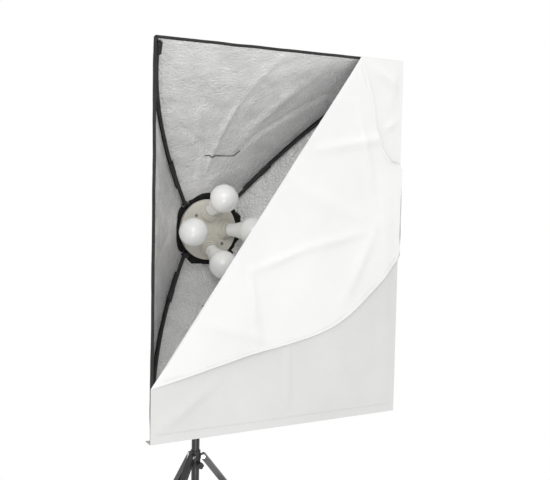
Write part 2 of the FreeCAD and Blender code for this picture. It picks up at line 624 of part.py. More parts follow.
def power_inlet():
    """A three-pin appliance inlet: flange, body, well and pins."""
    z = INLET_Z
    w, h = INLET_W / 2, INLET_H / 2
    flange = block(at(-w - 2, HOUSING_BACK, z - h - 2), at(w + 2, HOUSING_BACK + 2.5, z + h + 2))
    box = block(at(-w, HOUSING_BACK - 20, z - h), at(w, HOUSING_BACK, z + h))
    well = block(at(-12.1, HOUSING_BACK - 16, z - 8.1), at(12.1, HOUSING_BACK + 5, z + 8.1))
    pins = []
    for x, dz in ((-7, -2), (0, 2), (7, -2)):
        low = at(x - 1, HOUSING_BACK - 18, z + dz - 2)
        pins.append(block(low, at(x + 1, HOUSING_BACK - 2, z + dz + 2)))
    return joined(joined(flange, box).cut(well), *pins)


def terminal_block():
    """The block in the housing where the lamps' wires meet, seated on the inlet's body."""
    top = INLET_Z + INLET_H / 2
    body = block(at(-16, HOUSING_BACK - 20, top), at(16, HOUSING_BACK - 17, top + 12))
    for k in range(4):
        x = -12 + 8 * k
        body = body.cut(rod(at(x, HOUSING_BACK - 25, top + 6), at(x, HOUSING_BACK - 18, top + 6), 1.6))
    return body


def build_lamps():
    sockets, shells = [], []
    for angle in LAMP_ANGLES.values():
        origin, look = lamp_axis(angle)
        cup = rod(origin - look * SHELL_DEPTH, origin + look * SHELL_MOUTH, SHELL_R)
        bore = rod(origin - look * (SHELL_DEPTH - 3), origin + look * (SHELL_MOUTH + 1), CAP_R + 1.3)
        sockets.append(cup.cut(bore))
        low, high = origin - look * (SHELL_DEPTH - 6), origin + look * (SHELL_MOUTH - 6)
        thread = pipe(low, high, CAP_R + 1.3, CAP_R + LOOSE)
        tongue = rod(origin - look * (SHELL_DEPTH - 3), origin - look * (SHELL_DEPTH - 6), 4.0)
        shells += [thread, tongue]
    nodes["lamp_sockets"] = Part.makeCompound(sockets)
    nodes["socket_contacts"] = Part.makeCompound(shells)
    for name, angle in LAMP_ANGLES.items():
        origin, look = lamp_axis(angle)
        cap_low = SHELL_MOUTH + 0.5 - CAP_LENGTH
        cap = rod(origin + look * cap_low, origin + look * (SHELL_MOUTH + 0.5), CAP_R)
        tip = Part.makeCone(4.0, CAP_R - 2, 4.0, origin + look * (cap_low - 4.0), look)
        button = rod(origin + look * (cap_low - 5.5), origin + look * (cap_low - 4.0), 3.5)
        nodes["bulb_cap_" + name] = joined(cap, tip, button)
        nodes["bulb_" + name] = bulb_glass(origin, look)


def bulb_outline(origin, look, inset, start):
    """The bulb turned about its axis: a globe drawn in through a smooth shoulder to a straight neck."""
    centre = GLOBE_OUT
    neck_end = SHELL_MOUTH + 9.5
    globe, neck = GLOBE_R - inset, NECK_R - inset
    meet_t = centre - globe * math.sin(SHOULDER_TURN)
    meet_r = globe * math.cos(SHOULDER_TURN)
    side = look.cross(X_AXIS if abs(look.x) < 0.9 else Z_AXIS).normalize()

    def point(t, r):
        return origin + look * t + side * r

    shoulder = point((neck_end + meet_t) / 2, neck + 0.38 * (meet_r - neck))
    edges = [
        Part.LineSegment(point(start, 0), point(start, neck)).toShape(),
        Part.LineSegment(point(start, neck), point(neck_end, neck)).toShape(),
        Part.Arc(point(neck_end, neck), shoulder, point(meet_t, meet_r)).toShape(),
        Part.Arc(point(meet_t, meet_r), point(centre, globe), point(centre + globe, 0)).toShape(),
        Part.LineSegment(point(centre + globe, 0), point(start, 0)).toShape(),
    ]
    return Part.Face(Part.Wire(edges)).revolve(origin, look, 360)


def bulb_glass(origin, look):
    start = SHELL_MOUTH + 0.5
    return bulb_outline(origin, look, 0, start).cut(bulb_outline(origin, look, GLASS, start - 1))


# ---- rods and cloth ----
def on_arc(radius, turn):
    """(reach along the corner's direction, depth) of a point on a bow of this radius."""
    return ARC_P + radius * math.cos(turn), ARC_N + radius * math.sin(turn)


def corner_direction(sx, sz):
    return vec(sx * SIDE_SHARE, 0, sz * UP_SHARE)


def corner_point(sx, sz, reach, depth):
    return at(sx * ROOT_HALF, depth, sz * ROOT_HALF) + corner_direction(sx, sz) * reach


def bow(sx, sz, radius, from_turn, to_turn, outer_r, bore=0.0):
    """A round bar (or tube) along part of the rod's bow in one corner's plane."""
    along = corner_direction(sx, sz)
    centre = corner_point(sx, sz, ARC_P, ARC_N)
    start = centre + (along * math.cos(from_turn) + Y_AXIS * math.sin(from_turn)) * radius
    heading = along * math.sin(from_turn) - Y_AXIS * math.cos(from_turn)
    ring = Part.Face(Part.Wire(Part.makeCircle(outer_r, start, heading)))
    if bore:
        ring = ring.cut(Part.Face(Part.Wire(Part.makeCircle(bore, start, heading))))
    return ring.revolve(centre, Y_AXIS.cross(along), math.degrees(from_turn - to_turn))


def corner_rod(sx, sz):
    """One bowed rod: an eye on the pivot, a thick arm, a knuckle and the thin rod to its tip."""
    arm_end = ROOT_TURN - ARM_LENGTH / ROD_ARC
    knuckle_end = arm_end - KNUCKLE_LENGTH / ROD_ARC
    pivot = corner_point(sx, sz, 0, PIVOT_DEPTH)
    across = Y_AXIS.cross(corner_direction(sx, sz))
    eye = rod(pivot - across * EYE_HALF, pivot + across * EYE_HALF, 5.0)
    body = joined(
        eye,
        bow(sx, sz, ROD_ARC, ROOT_TURN, arm_end, ARM_R),
        bow(sx, sz, ROD_ARC, arm_end, knuckle_end, KNUCKLE_R),
        bow(sx, sz, ROD_ARC, knuckle_end, TIP_TURN, ROD_R),
    )
    return body.cut(rod(pivot - across * 20, pivot + across * 20, 2.0 + RUNNING))


def rod_ring():
    """The ring behind the plate, with a fork for each rod."""
    low, high = HOUSING_FRONT + LOOSE, PIVOT_DEPTH + 5.0
    body = rod(at(0, low, 0), at(0, high, 0), HOUSING_R + RING_WALL)
    forks = []
    for sx, sz in CORNERS.values():
        along = corner_direction(sx, sz)
        across = Y_AXIS.cross(along)
        pivot = corner_point(sx, sz, 0, PIVOT_DEPTH)
        inner = EYE_HALF + LOOSE
        for side in (-1, 1):
            a, b = inner * side, (inner + 2.5) * side
            cheek_end = rod(pivot + across * a, pivot + across * b, 5.0)
            half = (high - low) / 2
            middle = (high + low) / 2 - PIVOT_DEPTH
            start = pivot + across * a + Y_AXIS * middle
            face = [start - along * 14 - Y_AXIS * half, start - Y_AXIS * half, start + Y_AXIS * half,
                    start - along * 14 + Y_AXIS * half]
            forks += [cheek_end, prism(face, across * (b - a))]
    body = joined(body, *forks).cut(rod(at(0, low - 1, 0), at(0, high + 1, 0), HOUSING_R))
    for sx, sz in CORNERS.values():
        pivot = corner_point(sx, sz, 0, PIVOT_DEPTH)
        across = Y_AXIS.cross(corner_direction(sx, sz))
        body = body.cut(rod(pivot - across * 20, pivot + across * 20, 2.0))
        body = body.cut(Part.makeSphere(6.2, pivot).common(
            rod(pivot - across * (EYE_HALF + LOOSE), pivot + across * (EYE_HALF + LOOSE), 6.2)))
    return body


def rod_pins():
    pins = []
    for sx, sz in CORNERS.values():
        pivot = corner_point(sx, sz, 0, PIVOT_DEPTH)
        across = Y_AXIS.cross(corner_direction(sx, sz))
        half = EYE_HALF + LOOSE + 2.5
        heads = [rod(pivot + across * s * half, pivot + across * s * (half + 1.2), 3.2) for s in (-1, 1)]
        pins.append(joined(rod(pivot - across * half, pivot + across * half, 2.0), *heads))
    return Part.makeCompound(pins)


def corner_pockets():
    """The sleeves sewn in the cloth's front corners that the rod tips sit in."""
    pockets = []
    for sx, sz in CORNERS.values():
        start = TIP_TURN + 24.0 / ROD_ARC
        bore = ROD_R + POCKET_GAP
        outer = bore + POCKET_WALL
        tip = TIP_TURN - LOOSE / ROD_ARC
        sleeve = bow(sx, sz, ROD_ARC, start, tip, outer, bore)
        end = bow(sx, sz, ROD_ARC, tip, TIP_TURN - 2.5 / ROD_ARC, outer)
        pockets.append(joined(sleeve, end))
    return Part.makeCompound(pockets)


def cloth_turns():
    back_reach = (BACK_HALF - ROOT_HALF) / SIDE_SHARE
    start = math.acos((back_reach - ARC_P) / CLOTH_ARC)
    end = math.asin(-ARC_N / CLOTH_ARC)
    return [start + (end - start) * k / WALL_STEPS for k in range(WALL_STEPS + 1)]


def wall_panel(side):
    """One cloth wall between two corners: side is "top", "bottom", "left" or "right"."""
    ends = {"top": ((-1, 1), (1, 1)), "bottom": ((-1, -1), (1, -1)),
            "left": ((-1, -1), (-1, 1)), "right": ((1, -1), (1, 1))}[side]
    turns = cloth_turns()
    rows = {}
    for layer, radius in (("in", CLOTH_ARC), ("out", CLOTH_ARC + CLOTH)):
        for k, corner in enumerate(ends):
            rows[layer, k] = [corner_point(*corner, *on_arc(radius, t)) for t in turns]
    faces = []
    for layer in ("in", "out"):
        a, b = rows[layer, 0], rows[layer, 1]
        faces += [[a[i], b[i], b[i + 1], a[i + 1]] for i in range(WALL_STEPS)]
    for k in (0, 1):
        faces.append(rows["in", k] + rows["out", k][::-1])
    for i in (0, WALL_STEPS):
        faces.append([rows["in", 0][i], rows["in", 1][i], rows["out", 1][i], rows["out", 0][i]])
    return closed(faces)


def vented(panel, up):
    """Cuts the heat vent, a slit across the panel a little in front of the lamps."""
    depth = 262.0
    low = at(-VENT_LENGTH / 2, depth - VENT_WIDTH / 2, 0)
    high = at(VENT_LENGTH / 2, depth + VENT_WIDTH / 2, up * 300)
    corners = [vec(*map(min, low, high)), vec(*map(max, low, high))]
    return panel.cut(block(*corners))


def back_collar():
    """The black cloth that closes the gap between the walls' back edges and the lamp housing."""
    turn = cloth_turns()[0]
    reach, depth = on_arc(CLOTH_ARC + CLOTH, turn)
    inner_reach, inner_depth = on_arc(CLOTH_ARC, turn)
    rings = []
    for r, d, hole, hole_depth in (
        (reach, depth, COLLAR_HOLE + CLOTH, COLLAR_DEPTH),
        (inner_reach, inner_depth, COLLAR_HOLE, COLLAR_DEPTH),
    ):
        outer = [corner_point(*CORNERS[n], r, d) for n in CORNERS]
        inner = [at(CORNERS[n][0] * hole, hole_depth, CORNERS[n][1] * hole) for n in CORNERS]
        rings.append((outer, inner))
    faces = []
    for i in range(4):
        j = (i + 1) % 4
        for outer, inner in rings:
            faces.append([outer[i], outer[j], inner[j], inner[i]])
        for which in (0, 1):
            faces.append([rings[0][which][i], rings[0][which][j], rings[1][which][j], rings[1][which][i]])
    return closed(faces)


def front_hem():
    """The binding round the open front: four strips, mitred at the corners."""
    strips = []
    w, h = FRONT_HALF_WIDTH, FRONT_HALF_HEIGHT
    low, high = -1.5, HEM_WIDTH - 1.5
    order = [(1, 1), (-1, 1), (-1, -1), (1, -1)]
    for i in range(4):
        (ax, az), (bx, bz) = order[i], order[(i + 1) % 4]
        outline = [
            at(ax * (w + low), -HEM_DEPTH, az * (h + low)),
            at(bx * (w + low), -HEM_DEPTH, bz * (h + low)),
            at(bx * (w + high), -HEM_DEPTH, bz * (h + high)),
            at(ax * (w + high), -HEM_DEPTH, az * (h + high)),
        ]
        strips.append(prism(outline, Y_AXIS * HEM_DEPTH))
    return Part.makeCompound(strips)


def diffuser():
    """The white front cloth: held right and below, its upper left corner folded forward and down."""
    w = FRONT_HALF_WIDTH + HEM_WIDTH - 1.5 + LOOSE
    h = FRONT_HALF_HEIGHT + HEM_WIDTH - 1.5 + LOOSE
    t = COVER_THICKNESS
    front = -HEM_DEPTH - LOOSE - t
    lip_back = COVER_LIP
    panel = [(FOLD_TOP, h), (w + t, h), (w + t, -h - t), (-w, -h - t), (-w, FOLD_SIDE)]
    body = prism([at(x, front, z) for x, z in panel], Y_AXIS * t)
    right_lip = block(at(w, front, -h - t), at(w + t, lip_back, h))
    bottom_lip = block(at(-w, front, -h - t), at(w + t, lip_back, -h))
    lifted = front - FLAP_LIFT
    flap = [(FOLD_TOP, h), (w + t, FLAP_UPPER), (w + t, FLAP_LOWER), (-w, FOLD_SIDE)]
    folded = prism([at(x, lifted, z) for x, z in flap], Y_AXIS * t)
    dx, dz = FOLD_TOP + w, h - FOLD_SIDE
    length = math.hypot(dx, dz)
    inward = (dz / length * t, -dx / length * t)
    fold_line = [(FOLD_TOP, h), (-w, FOLD_SIDE)]
    strip = [(x, z) for x, z in fold_line] + [(x + inward[0], z + inward[1]) for x, z in fold_line[::-1]]
    fold = prism([at(x, lifted, z) for x, z in strip], Y_AXIS * (FLAP_LIFT + t))
    tuck = block(at(w + t + LOOSE, lifted, FLAP_LOWER), at(w + 2 * t + LOOSE, lip_back * 0.7, FLAP_UPPER))
    tuck_top = block(at(w + t - 1, lifted, FLAP_LOWER), at(w + 2 * t + LOOSE, lifted + t, FLAP_UPPER))
    return joined(body, right_lip, bottom_lip, folded, fold, tuck, tuck_top)


def build_head():
    build_bracket()
    nodes["housing"] = housing()
    nodes["lamp_plate"] = lamp_plate()
    nodes["plate_screws"] = plate_screws()
    build_lamps()
    nodes["switch_frames"] = switch_frames()
    nodes["rocker_left"] = rocker(-SWITCH_X)
    nodes["rocker_right"] = rocker(SWITCH_X)
    nodes["power_inlet"] = power_inlet()
    nodes["terminal_block"] = terminal_block()


def build_softbox():
    nodes["rod_ring"] = rod_ring()
    nodes["rod_pins"] = rod_pins()
    for name, (sx, sz) in CORNERS.items():
        nodes["rod_" + name] = corner_rod(sx, sz)
    nodes["corner_pockets"] = corner_pockets()
    nodes["wall_top"] = vented(wall_panel("top"), 1)
    nodes["wall_bottom"] = vented(wall_panel("bottom"), -1)
    nodes["wall_left"] = wall_panel("left")
    nodes["wall_right"] = wall_panel("right")
    nodes["back_collar"] = back_collar()
    nodes["front_hem"] = front_hem()
    nodes["diffuser"] = diffuser()


def footprint_shift():
    """Moves the middle of the whole object's box over the origin, with the floor at z = 0."""
    box = Part.makeCompound(list(nodes.values())).BoundBox
    return vec(-(box.XMin + box.XMax) / 2, -(box.YMin + box.YMax) / 2, -box.ZMin)


build_stand()
build_head()
build_softbox()
SHIFT = footprint_shift()

if __name__ == "__main__":
    os.makedirs("parts", exist_ok=True)
    for name, shape in nodes.items():
        shape.translate(SHIFT)
        shape.exportStep(f"parts/{name}.step")
    print(len(nodes), "nodes, shift", SHIFT)
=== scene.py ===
import json
import math

import bmesh
import bpy
from mathutils import Matrix, Vector, noise


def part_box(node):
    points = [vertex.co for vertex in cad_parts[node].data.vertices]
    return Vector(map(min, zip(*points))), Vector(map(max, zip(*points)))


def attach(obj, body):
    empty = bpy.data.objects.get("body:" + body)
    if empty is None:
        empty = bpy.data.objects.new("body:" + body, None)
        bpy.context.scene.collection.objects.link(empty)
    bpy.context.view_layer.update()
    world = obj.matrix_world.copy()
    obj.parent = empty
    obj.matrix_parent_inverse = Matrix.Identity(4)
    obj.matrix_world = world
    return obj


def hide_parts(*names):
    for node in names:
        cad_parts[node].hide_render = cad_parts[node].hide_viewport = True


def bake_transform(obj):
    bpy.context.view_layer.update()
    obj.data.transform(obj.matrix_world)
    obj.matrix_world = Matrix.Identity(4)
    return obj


# Studio softbox on a light stand. Metres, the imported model's frame: +Z up, the softbox faces -Y.
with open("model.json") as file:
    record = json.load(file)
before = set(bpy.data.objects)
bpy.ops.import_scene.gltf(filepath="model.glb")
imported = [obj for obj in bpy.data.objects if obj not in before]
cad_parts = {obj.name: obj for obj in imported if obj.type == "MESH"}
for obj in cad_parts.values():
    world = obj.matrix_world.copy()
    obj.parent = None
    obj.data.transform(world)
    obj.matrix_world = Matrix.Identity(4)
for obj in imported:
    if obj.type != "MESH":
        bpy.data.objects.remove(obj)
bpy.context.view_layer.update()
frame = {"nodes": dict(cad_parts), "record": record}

# ---- places taken from the frame ----
hem_low, hem_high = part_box("front_hem")
AXIS_X = (hem_low.x + hem_high.x) / 2  # the lamp axis runs along Y through these
AXIS_Z = (hem_low.z + hem_high.z) / 2
FRONT_Y = hem_high.y  # the cloth walls' front edge
HEM_OUT = 0.0035  # how far the hem stands outside the walls' front edge
HALF_W = (hem_high.x - hem_low.x) / 2 - HEM_OUT
HALF_H = (hem_high.z - hem_low.z) / 2 - HEM_OUT

# ---- softbox sizes ----
# ROOT, ROOT_DEPTH, BOW, BACK_HALF, ROD_INSET, CLOTH and the vents' sizes are the model's.
# The back cloth's edge is round here and square there, and the rest are this file's own.
ROOT = 0.054
ROOT_DEPTH = 0.344
BOW = 0.038
BACK_HALF = 0.080
ROD_INSET = 0.010
COLLAR_R = 0.0655  # the collar's round inner edge, behind the rod ring
COLLAR_DEPTH = 0.3392
BLACK_R = 0.079  # black cloth shows this far out from the lamp axis
CLOTH = 0.0012
VENT_DEPTH = 0.262
VENT_HALF = 0.042
PAINTED_BRIGHT_Z = 0.10  # above this the flat cover, a single layer, is painted as bright as doubled cloth: painted light on its upper part
EDGE_OUT = 0.0045  # the cover reaches this far outside the walls
HEM_PAST = 0.001
HEM_MIDDLE = -0.0019
CORNERS = {"upper_right": (1, 1), "lower_right": (1, -1), "lower_left": (-1, -1), "upper_left": (-1, 1)}

REACH = math.hypot(HALF_W - ROOT, HALF_H - ROOT)
SHARE_X = (HALF_W - ROOT) / REACH
SHARE_Z = (HALF_H - ROOT) / REACH
CHORD = math.hypot(REACH, ROOT_DEPTH)
ARC_R = (CHORD**2 / 4 + BOW**2) / (2 * BOW)
ARC_P = REACH / 2 - ROOT_DEPTH / CHORD * (ARC_R - BOW)
ARC_N = ROOT_DEPTH / 2 - REACH / CHORD * (ARC_R - BOW)
BACK_TURN = math.acos(((BACK_HALF - ROOT) / SHARE_X - ARC_P) / ARC_R)
FRONT_TURN = math.asin(-ARC_N / ARC_R)


def at(x, depth, z):
    """A point measured from the lamp axis, depth back from the walls' front edge."""
    return Vector((AXIS_X + x, FRONT_Y + depth, AXIS_Z + z))


# ---- materials ----
def new_material(name):
    material = bpy.data.materials.new(name)
    material.use_nodes = True
    tree = material.node_tree
    return material, tree, tree.nodes["Principled BSDF"]


def make_relief_group():
    """Object-space relief: fine grain plus broad unevenness, as a height."""
    group = bpy.data.node_groups.new("Relief", "ShaderNodeTree")
    face = group.interface
    for name, default in (("Grain Scale", 900.0), ("Grain", 0.5), ("Broad Scale", 12.0), ("Broad", 0.3)):
        face.new_socket(name, in_out="INPUT", socket_type="NodeSocketFloat").default_value = default
    face.new_socket("Height", in_out="OUTPUT", socket_type="NodeSocketFloat")
    n = group.nodes
    ins, out = n.new("NodeGroupInput"), n.new("NodeGroupOutput")
    coords = n.new("ShaderNodeTexCoord")
    total = n.new("ShaderNodeMath")
    total.operation = "ADD"
    for k, (scale, amount) in enumerate((("Grain Scale", "Grain"), ("Broad Scale", "Broad"))):
        texture = n.new("ShaderNodeTexNoise")
        texture.inputs["Detail"].default_value = 3.0
        times = n.new("ShaderNodeMath")
        times.operation = "MULTIPLY"
        group.links.new(coords.outputs["Object"], texture.inputs["Vector"])
        group.links.new(ins.outputs[scale], texture.inputs["Scale"])
        group.links.new(texture.outputs["Fac"], times.inputs[0])
        group.links.new(ins.outputs[amount], times.inputs[1])
        group.links.new(times.outputs[0], total.inputs[k])
    group.links.new(total.outputs[0], out.inputs["Height"])
    return group


RELIEF = make_relief_group()


def add_relief(tree, shader, grain_scale, grain, broad_scale, broad, strength, distance):
    group = tree.nodes.new("ShaderNodeGroup")
    group.node_tree = RELIEF
    values = {"Grain Scale": grain_scale, "Grain": grain, "Broad Scale": broad_scale, "Broad": broad}
    for name, value in values.items():
        group.inputs[name].default_value = value
    bump = tree.nodes.new("ShaderNodeBump")
    bump.inputs["Strength"].default_value = strength
    bump.inputs["Distance"].default_value = distance
    tree.links.new(group.outputs["Height"], bump.inputs["Height"])
    tree.links.new(bump.outputs["Normal"], shader.inputs["Normal"])


def add_mottle(tree, shader, dark, light, scale):
    """Slightly uneven colour between two values, by object coordinates."""
    coords = tree.nodes.new("ShaderNodeTexCoord")
    texture = tree.nodes.new("ShaderNodeTexNoise")
    texture.inputs["Scale"].default_value = scale
    texture.inputs["Detail"].default_value = 4.0
    ramp = tree.nodes.new("ShaderNodeValToRGB")
    ramp.color_ramp.elements[0].position = 0.3
    ramp.color_ramp.elements[1].position = 0.7
    ramp.color_ramp.elements[0].color = (*dark, 1)
    ramp.color_ramp.elements[1].color = (*light, 1)
    tree.links.new(coords.outputs["Object"], texture.inputs["Vector"])
    tree.links.new(texture.outputs["Fac"], ramp.inputs["Fac"])
    tree.links.new(ramp.outputs["Color"], shader.inputs["Base Color"])


# A relief is grain scale, grain, broad scale, broad, strength and distance.
PLAIN_RELIEF = (700.0, 0.5, 20.0, 0.3, 0.15, 0.0004)
PLATED_RELIEF = (200.0, 0.2, 10.0, 0.2, 0.05, 0.0002)
MOULDED_RELIEF = (1400.0, 1.0, 20.0, 0.2, 0.3, 0.0003)
GLOSSY_RELIEF = (300.0, 0.2, 14.0, 0.3, 0.06, 0.0004)
WOVEN_RELIEF = (1500.0, 1.0, 30.0, 0.8, 0.5, 0.0008)
BLOWN_RELIEF = (60.0, 0.1, 8.0, 0.2, 0.03, 0.0004)


def simple(name, dark, light, roughness, metallic=0.0, relief=PLAIN_RELIEF, coat=0.0):
    material, tree, shader = new_material(name)
    add_mottle(tree, shader, dark, light, relief[2] * 2)
    shader.inputs["Roughness"].default_value = roughness
    shader.inputs["Metallic"].default_value = metallic
    shader.inputs["Coat Weight"].default_value = coat
    add_relief(tree, shader, *relief)
    return material


def grey(value):
    return (value, value, value)


def make_silver():
    """Silver-coated cloth: a fine pebble grain that glints, with broad unevenness."""
    material, tree, shader = new_material("silver_cloth_inside")
    add_mottle(tree, shader, grey(0.80), grey(0.96), 26.0)
    shader.inputs["Roughness"].default_value = 0.38
    shader.inputs["Metallic"].default_value = 0.22
    add_relief(tree, shader, 210.0, 1.5, 34.0, 1.6, 1.0, 0.0030)
    return material


def make_white_cloth(name, dark, light):
    """Thin white cloth; a single layer over the dark box looks greyer than a doubled one."""
    material, tree, shader = new_material(name)
    add_mottle(tree, shader, grey(dark), grey(light), 9.0)
    shader.inputs["Roughness"].default_value = 0.75
    shader.inputs["Sheen Weight"].default_value = 0.15
    add_relief(tree, shader, 1300.0, 0.35, 7.0, 1.0, 0.3, 0.004)
    return material


MATERIALS = {
    "black_tube": simple("black_tube", grey(0.012), grey(0.020), 0.38, coat=0.15),
    "black_plastic": simple("black_plastic", grey(0.016), grey(0.026), 0.5),
    "chrome": simple("chrome", grey(0.70), grey(0.80), 0.16, 1.0, PLATED_RELIEF),
    "rubber": simple("rubber", grey(0.014), grey(0.024), 0.78),
    "housing_black": simple("housing_black", grey(0.018), grey(0.028), 0.55, relief=MOULDED_RELIEF),
    "cream_plastic": simple(
        "cream_plastic", (0.80, 0.77, 0.69), (0.85, 0.82, 0.74), 0.36, relief=GLOSSY_RELIEF
    ),
    "white_plastic": simple(
        "white_plastic", (0.80, 0.78, 0.71), (0.84, 0.82, 0.76), 0.33, relief=GLOSSY_RELIEF
    ),
    "nickel": simple("nickel", (0.55, 0.52, 0.46), (0.66, 0.63, 0.56), 0.3, 1.0),
    "rocker": simple("rocker", grey(0.02), grey(0.03), 0.25),
    "rod_steel": simple("rod_steel", grey(0.010), grey(0.018), 0.42, coat=0.1),
    "black_cloth": simple("black_cloth", grey(0.010), grey(0.022), 0.85, relief=WOVEN_RELIEF),
    "opal_glass": simple(
        "opal_glass", (0.90, 0.90, 0.88), (0.93, 0.93, 0.91), 0.14, relief=BLOWN_RELIEF, coat=0.4
    ),
    "silver_cloth": make_silver(),
    "white_cloth": make_white_cloth("white_cloth_double", 0.66, 0.695),
    "white_cloth_single": make_white_cloth("white_cloth_single", 0.535, 0.565),
}


# painted glow: emission on the opal glass stands in for the light it passes on from the bright box round it
PAINTED_GLOW = 0.10
GLASS_SHADER = MATERIALS["opal_glass"].node_tree.nodes["Principled BSDF"]
GLASS_SHADER.inputs["Emission Color"].default_value = (1.0, 1.0, 0.98, 1)
GLASS_SHADER.inputs["Emission Strength"].default_value = PAINTED_GLOW


# ---- helpers for pieces ----
def add_object(name, mesh, materials):
    piece = bpy.data.objects.new(name, mesh)
    bpy.context.scene.collection.objects.link(piece)
    for material in materials:
        mesh.materials.append(material)
    return piece


def mesh_from(name, verts, faces, normals=None, indices=None):
    mesh = bpy.data.meshes.new(name)
    mesh.from_pydata(verts, [], faces)
    mesh.update()
    mesh.shade_smooth()
    if indices:
        mesh.polygons.foreach_set("material_index", indices)
    if normals:
        mesh.normals_split_custom_set_from_vertices(normals)
    return mesh


def face_outwards(mesh):
    """Turns every face of a closed mesh outwards."""
    bm = bmesh.new()
    bm.from_mesh(mesh)
    bmesh.ops.recalc_face_normals(bm, faces=bm.faces)
    bm.to_mesh(mesh)
    bm.free()


def fill_rows(bm, rows):
    """Faces between each row of vertices and the next."""
    for near, far in zip(rows, rows[1:]):
        for m in range(len(near) - 1):
            bm.faces.new((near[m], far[m], far[m + 1], near[m + 1]))


SOFT_EDGE = 0.0004


def dress_cad(node, slot, bevel):
    """Keeps a CAD node as it is, with softened edges and its procedural material."""
    piece = frame["nodes"][node]
    piece.data.materials.clear()
    piece.data.materials.append(MATERIALS[slot])
    if bevel:
        edge = piece.modifiers.new("edge", "BEVEL")
        edge.width = bevel
        edge.segments = 2
        edge.limit_method = "ANGLE"
        edge.angle_limit = math.radians(40)
        edge.use_clamp_overlap = True
        edge.harden_normals = False


# ---- the cloth walls ----
def bow_point(turn, out=0.0):
    """(reach, depth) along the corner's bow."""
    return ARC_P + (ARC_R + out) * math.cos(turn), ARC_N + (ARC_R + out) * math.sin(turn)


def crease(p, a, b, width, height):
    """Height of a soft ridge along the segment a-b, at p, all in the same flat coordinates."""
    ax, ay = a
    dx, dy = b[0] - ax, b[1] - ay
    k = max(0.0, min(1.0, ((p[0] - ax) * dx + (p[1] - ay) * dy) / (dx * dx + dy * dy)))
    away = math.hypot(p[0] - ax - k * dx, p[1] - ay - k * dy)
    fade = math.sin(math.pi * (0.12 + 0.76 * k))
    return height * fade * math.exp(-((away / width) ** 2))


# Each wall's creases: (start, end, width, height) with places as (across, forward), both 0 to 1.
WALL_CREASES = {
    "top": [
        ((0.50, 1.0), (0.44, 0.62), 0.022, 0.0068), ((0.44, 0.62), (0.42, 0.30), 0.018, 0.0071),
        ((0.42, 0.30), (0.38, 0.10), 0.018, 0.0058), ((0.08, 0.45), (0.40, 0.22), 0.020, -0.0061),
        ((0.30, 0.95), (0.22, 0.55), 0.03, -0.0044), ((0.72, 0.9), (0.60, 0.35), 0.03, 0.0058),
        ((0.86, 0.7), (0.62, 0.25), 0.025, -0.0051), ((0.12, 0.8), (0.30, 0.30), 0.022, 0.0037),
    ],
    "bottom": [
        ((0.15, 0.6), (0.45, 0.28), 0.022, 0.0061), ((0.55, 0.9), (0.48, 0.35), 0.03, -0.0051),
        ((0.30, 0.95), (0.36, 0.4), 0.025, 0.0044), ((0.8, 0.7), (0.58, 0.3), 0.025, 0.0058),
    ],
    "left": [
        ((0.72, 0.45), (0.52, 0.18), 0.025, 0.0058), ((0.30, 0.5), (0.46, 0.15), 0.025, -0.0054),
        ((0.50, 0.95), (0.52, 0.4), 0.03, 0.0041), ((0.2, 0.85), (0.42, 0.5), 0.03, 0.0041),
    ],
    "right": [
        ((0.72, 0.5), (0.55, 0.2), 0.025, 0.0058), ((0.25, 0.6), (0.46, 0.2), 0.025, -0.0051),
        ((0.55, 0.95), (0.5, 0.45), 0.03, 0.0048),
    ],
}
WALL_ENDS = {
    "top": ("upper_left", "upper_right"), "bottom": ("lower_left", "lower_right"),
    "left": ("lower_left", "upper_left"), "right": ("lower_right", "upper_right"),
}
INWARD = {
    "top": Vector((0, 0, -1)), "bottom": Vector((0, 0, 1)),
    "left": Vector((1, 0, 0)), "right": Vector((-1, 0, 0)),
}
# each side of a cell: the step to its neighbour, and the cell's two corners on that side
CELL_SIDES = (((-1, 0), (0, 1)), ((0, 1), (1, 2)), ((1, 0), (2, 3)), ((0, -1), (3, 0)))
ACROSS_STEPS = 120
FORWARD_STEPS = 84


def corner_at(corner, turn):
    sx, sz = CORNERS[corner]
    reach, depth = bow_point(turn)
    return at(sx * (ROOT + SHARE_X * reach), depth, sz * (ROOT + SHARE_Z * reach))


def wall_surface(side, across, forward):
    """A point of the wall's inner face, pulled between two rods, with its creases."""
    turn = BACK_TURN + (FRONT_TURN - BACK_TURN) * forward
    a, b = (corner_at(c, turn) for c in WALL_ENDS[side])
    base = a.lerp(b, across)
    edge = math.sin(math.pi * across) ** 0.5 * math.sin(math.pi * min(1.0, 0.04 + forward * 0.96)) ** 0.5
    height = sum(crease((across, forward), *c) for c in WALL_CREASES[side])
    place = base * 9.0
    height += 0.0022 * noise.noise(place) + 0.0012 * noise.noise(place * 3.1)
    height += 0.0020 * edge * math.sin(forward * 7.0 + across * 5.0)
    return base + INWARD[side] * (edge * (height + CLOTH))


